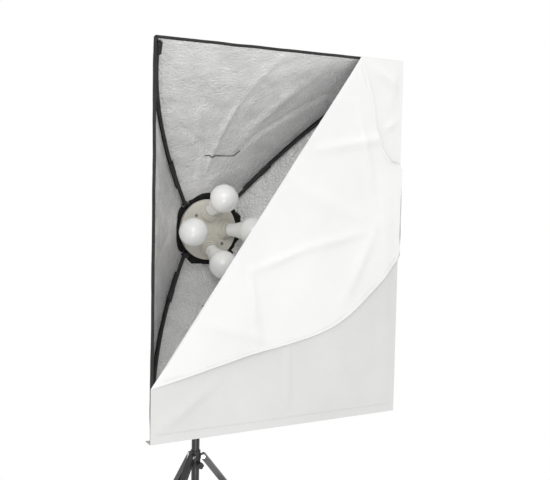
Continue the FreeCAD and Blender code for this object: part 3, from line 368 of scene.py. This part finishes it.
def build_wall(side):
    """Two halves that meet at the wall's middle: silver inside, black outside."""
    rows = [
        [wall_surface(side, i / ACROSS_STEPS, j / FORWARD_STEPS) for i in range(ACROSS_STEPS + 1)]
        for j in range(FORWARD_STEPS + 1)
    ]
    middle = at(0, 0.15, 0)

    def normal(j, i):
        along = rows[j][min(i + 1, ACROSS_STEPS)] - rows[j][max(i - 1, 0)]
        forward = rows[min(j + 1, FORWARD_STEPS)][i] - rows[max(j - 1, 0)][i]
        n = along.cross(forward).normalized()
        return n if n.dot(middle - rows[j][i]) > 0 else -n

    half = ACROSS_STEPS // 2
    for part, corner in enumerate(WALL_ENDS[side]):
        columns = range(part * half, part * half + half + 1)
        verts, normals, faces, indices = [], [], [], []
        for layer in (0, 1):
            for j in range(FORWARD_STEPS + 1):
                for i in columns:
                    n = normal(j, i)
                    verts.append(rows[j][i] - n * (CLOTH * layer))
                    normals.append(-n if layer else n)
        width = half + 1
        count = width * (FORWARD_STEPS + 1)
        cells = {(j, i) for j in range(FORWARD_STEPS) for i in range(half)}
        for j, i in sorted(cells):
            q = [j * width + i, j * width + i + 1, (j + 1) * width + i + 1, (j + 1) * width + i]
            flip = (verts[q[1]] - verts[q[0]]).cross(verts[q[3]] - verts[q[0]]).dot(normals[q[0]]) < 0
            inner = q[::-1] if flip else q
            faces += [inner, [v + count for v in inner[::-1]]]
            indices += [0, 1]
            for (dj, di), (a, b) in CELL_SIDES:
                if (j + dj, i + di) not in cells:
                    edge = [q[a], q[b], q[b] + count, q[a] + count]
                    faces.append(edge if flip else edge[::-1])
                    indices.append(1)
        mesh = mesh_from(f"wall_{side}_{part}", verts, faces, normals, indices)
        materials = [MATERIALS["silver_cloth"], MATERIALS["black_cloth"]]
        piece = add_object(f"wall_{side}_{corner}_cloth", mesh, materials)
        area = sum(p.area for p in mesh.polygons if p.material_index == 0)
        declare_cloth(piece, area)
        bend_with(piece)
        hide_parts("wall_" + side)


# A piece's flat area lies between these shares of the width times length worked out for it.
SPARE_SHARE = 1.001


def declare_cloth(piece, area):
    """Works out a flat width and length for a cut piece of cloth; neither is stored.

    Its flat size is measured from the finished mesh, so it can't show that the cloth was stretched.
    The area is raised to LEAST_SHARE where the piece has less: that is so for cover_lower_left_side
    and cover_flap_lower_left_side, whose worked-out areas are larger than their real ones.
    """
    points = [v.co for v in piece.data.vertices]
    spans = sorted((max(p[k] for p in points) - min(p[k] for p in points) for k in range(3)), reverse=True)
    width, length = spans[0], max(spans[1], area / spans[0] * SPARE_SHARE)
    width = max(width, area / length * SPARE_SHARE)


def bend_with(piece):
    """Bakes a cloth piece's transform into its mesh."""
    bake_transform(piece)


# ---- strips and tubes along a line of points ----
def strip_mesh(name, path, wide, thick, out):
    """A soft-edged band along a path: wide along out, thick across it."""
    verts, faces = [], []
    ring = 8
    for k, point in enumerate(path):
        tangent = (path[min(k + 1, len(path) - 1)] - path[max(k - 1, 0)]).normalized()
        across = out(point) if callable(out) else out
        across = (across - tangent * across.dot(tangent)).normalized()
        up = tangent.cross(across)
        for m in range(ring):
            a = 2 * math.pi * (m + 0.5) / ring
            c, s = math.cos(a), math.sin(a)
            c = math.copysign(abs(c) ** 0.5, c)
            s = math.copysign(abs(s) ** 0.5, s)
            verts.append(point + across * (c * wide / 2) + up * (s * thick / 2))
    for k in range(len(path) - 1):
        for m in range(ring):
            n = (m + 1) % ring
            faces.append([k * ring + m, k * ring + n, (k + 1) * ring + n, (k + 1) * ring + m])
    faces.append(list(range(ring))[::-1])
    faces.append([(len(path) - 1) * ring + m for m in range(ring)])
    mesh = bpy.data.meshes.new(name)
    mesh.from_pydata(verts, [], faces)
    face_outwards(mesh)
    mesh.shade_smooth()
    return mesh


def build_hem():
    """The black binding round the front: eight lengths, cut where the cloth is cut."""
    for corner, (sx, sz) in CORNERS.items():
        for sideways in (True, False):
            count = 40
            path = []
            for k in range(count + 1):
                t = k / count
                wave = 0.0007 * noise.noise(Vector((t * 6, sx * 3.0, sz * 5.0 + sideways)))
                if sideways:
                    path.append(at(sx * (HALF_W + HEM_PAST) * t, HEM_MIDDLE, sz * (HALF_H + HEM_PAST + wave)))
                else:
                    path.append(at(sx * (HALF_W + HEM_PAST + wave), HEM_MIDDLE, sz * (HALF_H + HEM_PAST) * t))
            out = Vector((0, 0, sz)) if sideways else Vector((sx, 0, 0))
            mesh = strip_mesh(f"hem_{corner}_{sideways}", path, 0.0052, 0.0042, out)
            label = f"hem_{corner}_{'flat' if sideways else 'side'}"
            piece = add_object(label, mesh, [MATERIALS["black_cloth"]])
            bend_with(piece)
            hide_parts("front_hem")


def build_vents():
    """Each heat vent: a slit whose black edges lie together, one end turned forward."""
    bend = 0.62  # where the slit turns forward, as a share of its half length
    for side in ("top", "bottom"):
        up = 1 if side == "top" else -1
        forward = vent_forward()
        half_across = VENT_HALF / wall_width(forward)
        steps = 48
        line = []
        for k in range(steps + 1):
            t = 2 * k / steps - 1
            turn = 0.095 * max(0.0, t - bend) ** 1.3 - 0.010 * max(0.0, -t - 0.3)
            sag = 0.008 * math.sin(math.pi * (t + 1) / 2)
            across = 0.5 + half_across * (t if t < bend else bend + 0.55 * (t - bend))
            line.append(wall_surface(side, across, forward + turn - sag) - Vector((0, 0, up * 0.0010)))
        for part, corner in enumerate(WALL_ENDS[side]):
            path = line[: steps // 2 + 1] if part == 0 else line[steps // 2:]
            mesh = strip_mesh(f"vent_{side}_{part}", path, 0.0034, 0.0016, Vector((0, 1, 0)))
            piece = add_object(f"vent_edge_{side}_{corner}", mesh, [MATERIALS["black_cloth"]])
            bend_with(piece)


def vent_forward():
    turn = math.asin((VENT_DEPTH - ARC_N) / ARC_R)
    return (turn - BACK_TURN) / (FRONT_TURN - BACK_TURN)


def wall_width(forward):
    reach, _ = bow_point(BACK_TURN + (FRONT_TURN - BACK_TURN) * forward)
    return 2 * (ROOT + SHARE_X * reach)


def build_back_collar():
    """Cloth from the walls' back edges in to a round edge: silver, then black near the lamps."""
    reach, depth = bow_point(BACK_TURN)
    corners = [(sx * (ROOT + SHARE_X * reach), sz * (ROOT + SHARE_Z * reach)) for sx, sz in CORNERS.values()]
    around, deep = 96, 34
    columns = 4 * around
    verts, faces, indices = [], [], []
    for layer in (0, 1):
        for j in range(deep + 1):
            d = j / deep
            for c in range(columns):
                side, k = divmod(c, around)
                (ax, az), (bx, bz) = corners[side], corners[(side + 1) % 4]
                x, z = ax + (bx - ax) * k / around, az + (bz - az) * k / around
                inner = COLLAR_R / math.hypot(x, z)
                along = k / around
                pleat = math.sin(along * math.pi) * math.sin(along * 26 + side)
                fold = 0.0012 * pleat * math.sin(d * math.pi)
                share = 1 + (inner - 1) * d
                level = depth + (COLLAR_DEPTH - depth) * math.sin(d * math.pi / 2) ** 1.2 + fold
                verts.append(at(x * share, level + layer * CLOTH, z * share))
    count = columns * (deep + 1)
    origin = at(0, 0, 0)
    for j in range(deep):
        for c in range(columns):
            n = (c + 1) % columns
            q = [j * columns + c, j * columns + n, (j + 1) * columns + n, (j + 1) * columns + c]
            faces += [q, [v + count for v in q[::-1]]]
            middle = (verts[q[0]] + verts[q[2]]) / 2 - origin
            ragged = BLACK_R + 0.006 * noise.noise(middle * 38.0) + 0.0016 * noise.noise(middle * 150.0)
            indices += [1 if math.hypot(middle.x, middle.z) < ragged else 0, 1]
    for j in (0, deep):
        for c in range(columns):
            n = (c + 1) % columns
            faces.append([j * columns + c, j * columns + n, j * columns + n + count, j * columns + c + count])
            indices.append(1)
    mesh = mesh_from("back_collar", verts, faces, indices=indices)
    face_outwards(mesh)
    materials = [MATERIALS["silver_cloth"], MATERIALS["black_cloth"]]
    piece = add_object("back_collar_cloth", mesh, materials)
    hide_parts("back_collar")
    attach(piece, "head")


def build_seams():
    """Black tape along the walls' corners, from the back collar to the front; each goes with its rod."""
    steps = 48
    for corner, (sx, sz) in CORNERS.items():
        path = []
        for k in range(steps + 1):
            turn = BACK_TURN + (FRONT_TURN - BACK_TURN) * k / steps
            reach, depth = bow_point(turn, -0.0030)
            path.append(at(sx * (ROOT + SHARE_X * reach), depth, sz * (ROOT + SHARE_Z * reach)))
        across = Vector((sz * SHARE_Z, 0, -sx * SHARE_X))
        mesh = strip_mesh("seam_" + corner, path, 0.0072, 0.0016, across)
        piece = add_object("corner_seam_" + corner, mesh, [MATERIALS["black_cloth"]])
        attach(piece, "rod_" + corner)


def build_pockets():
    """The sleeves in the front corners; each stays on its rod's tip."""
    steps = 12
    for corner, (sx, sz) in CORNERS.items():
        radius = ARC_R - ROD_INSET
        path = []
        for k in range(steps + 1):
            depth = 0.0265 - 0.0262 * k / steps
            turn = math.asin((depth - ARC_N) / radius)
            reach = ARC_P + radius * math.cos(turn)
            path.append(at(sx * (ROOT + SHARE_X * reach), depth, sz * (ROOT + SHARE_Z * reach)))
        across = Vector((sz * SHARE_Z, 0, -sx * SHARE_X))
        mesh = strip_mesh("pocket_" + corner, path, 0.0112, 0.0102, across)
        piece = add_object("pocket_" + corner, mesh, [MATERIALS["black_cloth"]])
        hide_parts("corner_pockets")
        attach(piece, "rod_" + corner)


# ---- the white cover ----
COVER_Y = -0.0048
FOLD_TOP = Vector((0.160, HALF_H + 0.0030))
FOLD_LOW = Vector((-HALF_W - 0.0030, -0.250))
# the folded corner's hem, from the fold's top round to its lower end, as (x, z) from the lamp axis
FLAP_HEM = [
    (0.160, 0.349), (0.176, 0.305), (0.190, 0.262), (0.197, 0.222), (0.212, 0.180), (0.236, 0.152),
    (0.262, 0.138), (0.262, 0.075), (0.262, 0.010), (0.262, -0.034), (0.244, -0.058), (0.205, -0.098),
    (0.141, -0.150), (0.084, -0.177), (0.010, -0.194), (-0.057, -0.205), (-0.128, -0.221),
    (-0.200, -0.238), (-0.2605, -0.252),
]
# creases of the cover in (x, z): start, end, width, height forward of the cloth
COVER_CREASES = [
    ((0.009, -0.197), (0.012, -0.312), 0.006, 0.0035), ((-0.251, -0.329), (-0.138, -0.249), 0.012, 0.0056),
    ((0.10, -0.20), (0.17, -0.33), 0.02, 0.0032), ((0.22, 0.10), (0.25, -0.30), 0.02, 0.0035),
    ((-0.15, -0.26), (-0.10, -0.33), 0.015, 0.0032), ((0.222, 0.215), (0.256, 0.234), 0.006, 0.0051),
    ((0.20, 0.33), (0.25, 0.29), 0.008, 0.0048), ((0.235, 0.26), (0.245, 0.335), 0.009, 0.0040),
]
FLAP_CREASES = [
    ((-0.070, -0.053), (0.046, -0.015), 0.007, 0.0058), ((0.046, -0.015), (0.171, 0.013), 0.009, 0.0054),
    ((-0.077, -0.053), (-0.053, -0.202), 0.007, 0.0051), ((0.063, 0.169), (0.237, 0.200), 0.010, 0.0058),
    ((0.02, 0.10), (0.19, 0.03), 0.016, 0.0044), ((-0.17, -0.14), (-0.02, -0.19), 0.012, 0.0044),
    ((0.13, -0.12), (0.20, 0.02), 0.012, 0.0051), ((0.15, 0.26), (0.19, 0.10), 0.010, 0.0041),
]


def smooth_line(points, t):
    """A Catmull-Rom curve through the points, t from 0 to 1."""
    last = len(points) - 1
    k = min(int(t * last), last - 1)
    u = t * last - k
    p = [Vector(points[max(0, min(last, k + d))]) for d in (-1, 0, 1, 2)]
    return 0.5 * (2 * p[1] + (p[2] - p[0]) * u + (2 * p[0] - 5 * p[1] + 4 * p[2] - p[3]) * u * u
                  + (3 * p[1] - p[0] - 3 * p[2] + p[3]) * u**3)


def cover_lift(x, z):
    """How far the flat cover stands forward of its hems."""
    rise = 0.03  # the cover rises to its full lift within this of an edge
    edge = max(0.0, min(1.0, (HALF_W - abs(x)) / rise)) * max(0.0, min(1.0, (HALF_H - abs(z)) / rise))
    broad, fine = Vector((x * 7, z * 5, 1.3)), Vector((x * 19, z * 15, 4.1))
    wave = 0.0016 * noise.noise(broad) + 0.0008 * noise.noise(fine)
    return edge * (0.0010 + wave) + sum(crease((x, z), *c) for c in COVER_CREASES) * (0.25 + 0.75 * edge)


def cover_mesh():
    """The flat part of the cover, right of and below the fold, reaching just past the frame's sides."""
    bm = bmesh.new()
    edge_x, edge_z = HALF_W + EDGE_OUT, HALF_H + EDGE_OUT
    nx, nz = 110, 146
    grid = [
        [bm.verts.new(at(edge_x * (2 * i / nx - 1), 0, edge_z * (2 * j / nz - 1))) for i in range(nx + 1)]
        for j in range(nz + 1)
    ]
    for j in range(nz):
        for i in range(nx):
            bm.faces.new((grid[j][i], grid[j][i + 1], grid[j + 1][i + 1], grid[j + 1][i]))
    along = Vector((FOLD_TOP.x - FOLD_LOW.x, 0, FOLD_TOP.y - FOLD_LOW.y)).normalized()
    beyond = Vector((-along.z, 0, along.x))
    geometry = bm.verts[:] + bm.edges[:] + bm.faces[:]
    top = at(FOLD_TOP.x, 0, FOLD_TOP.y)
    bmesh.ops.bisect_plane(bm, geom=geometry, plane_co=top, plane_no=beyond, clear_outer=True)
    for vert in bm.verts:
        local = vert.co - at(0, 0, 0)
        vert.co.y = FRONT_Y + COVER_Y - cover_lift(local.x, local.z)
    return bm


def flap_wave(flat):
    """The folded corner's broad unevenness."""
    return 0.0018 * noise.noise(Vector((flat.x * 6, flat.y * 6, 7.7)))


def flap_mesh():
    """The folded corner: rolled over at the fold, lying on the cover, its hem drooping."""
    bm = bmesh.new()
    na, nb = 150, 70
    rows = []
    for k in range(na + 1):
        t = k / na
        hem = smooth_line(FLAP_HEM, t)
        fold = FOLD_TOP.lerp(FOLD_LOW, t)
        row = []
        for m in range(nb + 1):
            b = m / nb
            flat = fold.lerp(hem, b)
            size = (hem - fold).length
            near_fold = min(1.0, b * size / 0.006) if size > 1e-6 else 1.0
            roll = math.sqrt(max(0.0, 1 - (1 - near_fold) ** 2))
            from_hem = (1 - b) * size
            doubled_hem = 0.0009 / (1 + math.exp((from_hem - 0.011) / 0.0007))
            hem_drop = 0.0012 * math.exp(-((from_hem / 0.012) ** 2)) - doubled_hem
            wave = flap_wave(flat) + 0.0008 * noise.noise(Vector((flat.x * 17, flat.y * 14, 2.2)))
            loft = 0.0042 + wave + sum(crease((flat.x, flat.y), *c) for c in FLAP_CREASES)
            swell = min(1.0, size / 0.05)
            y = COVER_Y - 0.0006 - roll * swell * loft + hem_drop * swell
            row.append(bm.verts.new(at(flat.x, y - cover_lift(flat.x, flat.y) * 0.8, flat.y)))
        rows.append(row)
    fill_rows(bm, rows)
    bmesh.ops.remove_doubles(bm, verts=bm.verts, dist=1e-6)
    return bm


def lip_mesh(side):
    """The cover's turned-back edge along the right or the bottom, reaching back over the hem."""
    bm = bmesh.new()
    edge_x, edge_z = HALF_W + EDGE_OUT, HALF_H + EDGE_OUT
    count, deep = 150, 12
    rows = []
    for k in range(count + 1):
        t = k / count
        row = []
        for m in range(deep + 1):
            d = m / deep
            back = COVER_Y + d * (0.024 + 0.002 * noise.noise(Vector((t * 5, 3.0, 1.0))))
            ripple = 0.0009 * noise.noise(Vector((t * 30, d * 1.5, 5.0))) * d
            draw_in = 0.0030 * d * d
            if side == "right":
                z = -edge_z + 2 * edge_z * t
                row.append(bm.verts.new(at(edge_x + ripple - draw_in * 0.4, back, z)))
            else:
                x = -edge_x + 2 * edge_x * t
                row.append(bm.verts.new(at(x, back, -edge_z - ripple + draw_in * 0.4)))
        rows.append(row)
    fill_rows(bm, rows)
    return bm


def wrap_mesh():
    """The folded corner's tip, turned back round the right edge."""
    bm = bmesh.new()
    low, high, deep, count = -0.034, 0.138, 12, 50
    rows = []
    for k in range(count + 1):
        t = k / count
        z = low + (high - low) * t
        reach = 0.006 + 0.022 * math.sin(math.pi * t) ** 0.7
        row = []
        for m in range(deep + 1):
            d = m / deep
            swell = 0.0008 * noise.noise(Vector((t * 6, d * 2, 9.0)))
            row.append(bm.verts.new(at(HALF_W + 0.0062 + swell, COVER_Y - 0.004 + d * reach, z - 0.01 * d)))
        rows.append(row)
    fill_rows(bm, rows)
    return bm


def sector_of(x, z):
    """Which corner's sector a point of the cover lies in, and on which side of that corner's diagonal."""
    sx, sz = (1 if x >= 0 else -1), (1 if z >= 0 else -1)
    corner = {v: k for k, v in CORNERS.items()}[sx, sz]
    sideways = (abs(z) - ROOT) * SHARE_X >= (abs(x) - ROOT) * SHARE_Z
    return corner, sideways


def cut_and_add(bm, name, material, bends=None):
    """Cuts a cover mesh where its sectors meet; each sector is a piece of its own."""
    planes = [(at(0, 0, 0), Vector((1, 0, 0))), (at(0, 0, 0), Vector((0, 0, 1)))]
    for sx, sz in CORNERS.values():
        planes.append((at(sx * ROOT, 0, sz * ROOT), Vector((sz * SHARE_Z, 0, -sx * SHARE_X))))
    for place, facing in planes:
        geometry = bm.verts[:] + bm.edges[:] + bm.faces[:]
        bmesh.ops.bisect_plane(bm, geom=geometry, plane_co=place, plane_no=facing)
    bm.normal_update()
    if sum(f.normal.y * f.calc_area() for f in bm.faces) > 0:
        bmesh.ops.reverse_faces(bm, faces=bm.faces)
        bm.normal_update()
    origin = at(0, 0, 0)
    groups = {}
    for face in bm.faces:
        middle = face.calc_center_median() - origin
        corner, sideways = sector_of(middle.x, middle.z)
        # painted light: the single cover's upper part is given the brighter doubled cloth's colour
        worn = "white_cloth" if name == "cover" and middle.z > PAINTED_BRIGHT_Z else material
        groups.setdefault((corner, sideways if bends is None else bends, worn), []).append(face)
    for (corner, sideways, worn), members in groups.items():
        index, verts, normals, faces = {}, [], [], []
        for face in members:
            for vert in face.verts:
                if vert not in index:
                    index[vert] = len(verts)
                    verts.append(vert.co.copy())
                    normals.append(vert.normal.copy())
            faces.append([index[v] for v in face.verts])
        label = f"{name}_{corner}_{'flat' if sideways else 'side'}{'_doubled' if worn != material else ''}"
        piece = add_object(label, mesh_from(label, verts, faces, normals), [MATERIALS[worn]])
        area = sum(f.calc_area() for f in members)
        declare_cloth(piece, area)
        bend_with(piece)
        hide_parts("diffuser")
    bm.free()


def make_stitch_group():
    """Short threads laid end to end along a curve, a gap apart."""
    group = bpy.data.node_groups.new("Stitches", "GeometryNodeTree")
    face = group.interface
    face.new_socket("Geometry", in_out="INPUT", socket_type="NodeSocketGeometry")
    for name, default in (("Spacing", 0.0045), ("Thread Length", 0.0028), ("Thread Width", 0.0006)):
        face.new_socket(name, in_out="INPUT", socket_type="NodeSocketFloat").default_value = default
    face.new_socket("Material", in_out="INPUT", socket_type="NodeSocketMaterial")
    face.new_socket("Geometry", in_out="OUTPUT", socket_type="NodeSocketGeometry")
    n, link = group.nodes, group.links.new
    ins, out = n.new("NodeGroupInput"), n.new("NodeGroupOutput")
    points = n.new("GeometryNodeCurveToPoints")
    points.mode = "LENGTH"
    size = n.new("ShaderNodeCombineXYZ")
    thread = n.new("GeometryNodeMeshCube")
    place = n.new("GeometryNodeInstanceOnPoints")
    real = n.new("GeometryNodeRealizeInstances")
    paint = n.new("GeometryNodeSetMaterial")
    link(ins.outputs["Geometry"], points.inputs["Curve"])
    link(ins.outputs["Spacing"], points.inputs["Length"])
    link(ins.outputs["Thread Width"], size.inputs["X"])
    link(ins.outputs["Thread Width"], size.inputs["Y"])
    link(ins.outputs["Thread Length"], size.inputs["Z"])
    link(size.outputs[0], thread.inputs["Size"])
    link(points.outputs["Points"], place.inputs["Points"])
    link(points.outputs["Rotation"], place.inputs["Rotation"])
    link(thread.outputs["Mesh"], place.inputs["Instance"])
    link(place.outputs["Instances"], real.inputs["Geometry"])
    link(real.outputs["Geometry"], paint.inputs["Geometry"])
    link(ins.outputs["Material"], paint.inputs["Material"])
    link(paint.outputs["Geometry"], out.inputs["Geometry"])
    return group


STITCHES = make_stitch_group()


def stitch_row(name, path, material):
    """One row of stitches along a path."""
    curve = bpy.data.curves.new(name, "CURVE")
    curve.dimensions = "3D"
    line = curve.splines.new("POLY")
    line.points.add(len(path) - 1)
    for point, place in zip(line.points, path):
        point.co = (*place, 1)
    guide = bpy.data.objects.new(name + "_guide", curve)
    bpy.context.scene.collection.objects.link(guide)
    rows = guide.modifiers.new("stitches", "NODES")
    rows.node_group = STITCHES
    ids = {item.name: item.identifier for item in STITCHES.interface.items_tree if item.in_out == "INPUT"}
    rows[ids["Material"]] = material
    depsgraph = bpy.context.evaluated_depsgraph_get()
    mesh = bpy.data.meshes.new_from_object(guide.evaluated_get(depsgraph))
    bpy.data.objects.remove(guide)
    if not mesh.vertices:
        return
    mesh.materials.clear()
    piece = add_object(name, mesh, [material])
    bend_with(piece)


def stitched(name, path, material):
    """Splits a path where the cover's sectors meet, and sews each length."""
    origin = at(0, 0, 0)
    runs = []
    for point in path:
        key = sector_of(point.x - origin.x, point.z - origin.z)
        if not runs or runs[-1][0] != key:
            runs.append((key, []))
        runs[-1][1].append(point)
    for k, ((corner, sideways), points) in enumerate(runs):
        if len(points) > 3:
            stitch_row(f"{name}_stitches_{k}", points, material)


def flap_hem_line(inset):
    """The line of the folded corner's hem stitching, just in front of the cloth."""
    path = []
    steps = 300
    for k in range(4, steps - 3):
        t = k / steps
        hem, fold = smooth_line(FLAP_HEM, t), FOLD_TOP.lerp(FOLD_LOW, t)
        size = (hem - fold).length
        if size < inset * 2 or hem.x > 0.2595:
            continue
        flat = hem.lerp(fold, inset / size)
        forward = 0.0052 + flap_wave(flat) + cover_lift(flat.x, flat.y) * 0.8
        path.append(at(flat.x, COVER_Y - forward, flat.y))
    return path


def bottom_hem_line(inset):
    """The line of the bottom hem's stitching, just in front of the cloth."""
    steps = 120
    path = []
    for k in range(steps + 1):
        x, z = -HALF_W + 2 * HALF_W * k / steps, -HALF_H + inset
        path.append(at(x, COVER_Y - 0.0003 - cover_lift(x, z), z))
    return path


def build_cover():
    """The stitching, then the flat cover, its folded corner and their turned-back edges."""
    stitched("flap_hem", flap_hem_line(0.0095), MATERIALS["white_cloth"])
    stitched("bottom_hem", bottom_hem_line(0.012), MATERIALS["white_cloth_single"])
    cut_and_add(cover_mesh(), "cover", "white_cloth_single")
    cut_and_add(flap_mesh(), "cover_flap", "white_cloth")
    cut_and_add(lip_mesh("right"), "cover_right_lip", "white_cloth_single", False)
    cut_and_add(lip_mesh("bottom"), "cover_bottom_lip", "white_cloth_single", True)
    cut_and_add(wrap_mesh(), "cover_flap_tip", "white_cloth", False)


# ---- stage, light and camera ----
def build_stage():
    bpy.ops.mesh.primitive_circle_add(vertices=96, radius=1.1, fill_type="NGON", location=(0, 0, -0.0005))
    floor = bpy.context.active_object
    floor.name = "floor"
    material, _, shader = new_material("floor")
    shader.inputs["Base Color"].default_value = (0.86, 0.86, 0.86, 1)
    shader.inputs["Roughness"].default_value = 0.8
    floor.data.materials.append(material)


def area_light(name, place, aim, size, power):
    light = bpy.data.lights.new(name, "AREA")
    light.shape = "RECTANGLE"
    light.size, light.size_y = size
    light.energy = power
    lamp = bpy.data.objects.new(name, light)
    lamp.location = place
    lamp.rotation_euler = (Vector(aim) - Vector(place)).to_track_quat("-Z", "Y").to_euler()
    bpy.context.scene.collection.objects.link(lamp)


def build_light():
    world = bpy.data.worlds.new("studio")
    bpy.context.scene.world = world
    world.use_nodes = True
    tree = world.node_tree
    tree.nodes.clear()
    out = tree.nodes.new("ShaderNodeOutputWorld")
    mix = tree.nodes.new("ShaderNodeMixShader")
    room, white = tree.nodes.new("ShaderNodeBackground"), tree.nodes.new("ShaderNodeBackground")
    room.inputs["Color"].default_value = (1.0, 0.995, 0.985, 1)
    room.inputs["Strength"].default_value = 0.85
    white.inputs["Color"].default_value = (1, 1, 1, 1)
    path = tree.nodes.new("ShaderNodeLightPath")
    tree.links.new(path.outputs["Is Camera Ray"], mix.inputs["Fac"])
    tree.links.new(room.outputs[0], mix.inputs[1])
    tree.links.new(white.outputs[0], mix.inputs[2])
    tree.links.new(mix.outputs[0], out.inputs["Surface"])
    centre = at(0, 0.1, 0)
    area_light("key", centre + Vector((-1.6, -2.4, 1.5)), centre, (1.6, 1.6), 26)
    area_light("fill", centre + Vector((2.2, -1.8, 0.4)), centre, (1.4, 1.8), 8)
    area_light("low", centre + Vector((-0.9, -2.0, -0.9)), centre + Vector((-0.1, 0, 0.2)), (1.0, 1.0), 16)
    area_light("top", centre + Vector((0.2, -0.3, 2.2)), centre, (1.6, 1.6), 20)


def build_camera():
    yaw, down, roll = math.radians(29.71), math.radians(4.05), math.radians(1.14)
    camera = bpy.data.cameras.new("camera")
    camera.sensor_width = 36.0
    camera.lens = 55.96
    view = bpy.data.objects.new("camera", camera)
    level = Matrix.Rotation(-yaw, 3, "Z") @ Matrix.Rotation(math.pi / 2 - down, 3, "X")
    turn = level @ Matrix.Rotation(roll, 3, "Z")
    view.matrix_world = Matrix.Translation(at(-0.798, -1.365, 0.112)) @ turn.to_4x4()
    bpy.context.scene.collection.objects.link(view)
    bpy.context.scene.camera = view


def dress_all():
    """Dresses every CAD node but the cloth ones, which are built anew."""
    soft = {"wall_" + side for side in WALL_ENDS} | {"back_collar", "front_hem", "corner_pockets", "diffuser"}
    for entry in frame["record"]["subparts"]:
        node, slot = entry["node"], entry["material_slot"]
        if node not in soft:
            dress_cad(node, slot, 0.0 if slot in ("opal_glass", "rod_steel") else SOFT_EDGE)


dress_all()
for wall in WALL_ENDS:
    build_wall(wall)
build_hem()
build_vents()
build_back_collar()
build_seams()
build_pockets()
build_cover()
build_stage()
build_light()
build_camera()
bpy.context.scene.view_settings.view_transform = "Standard"
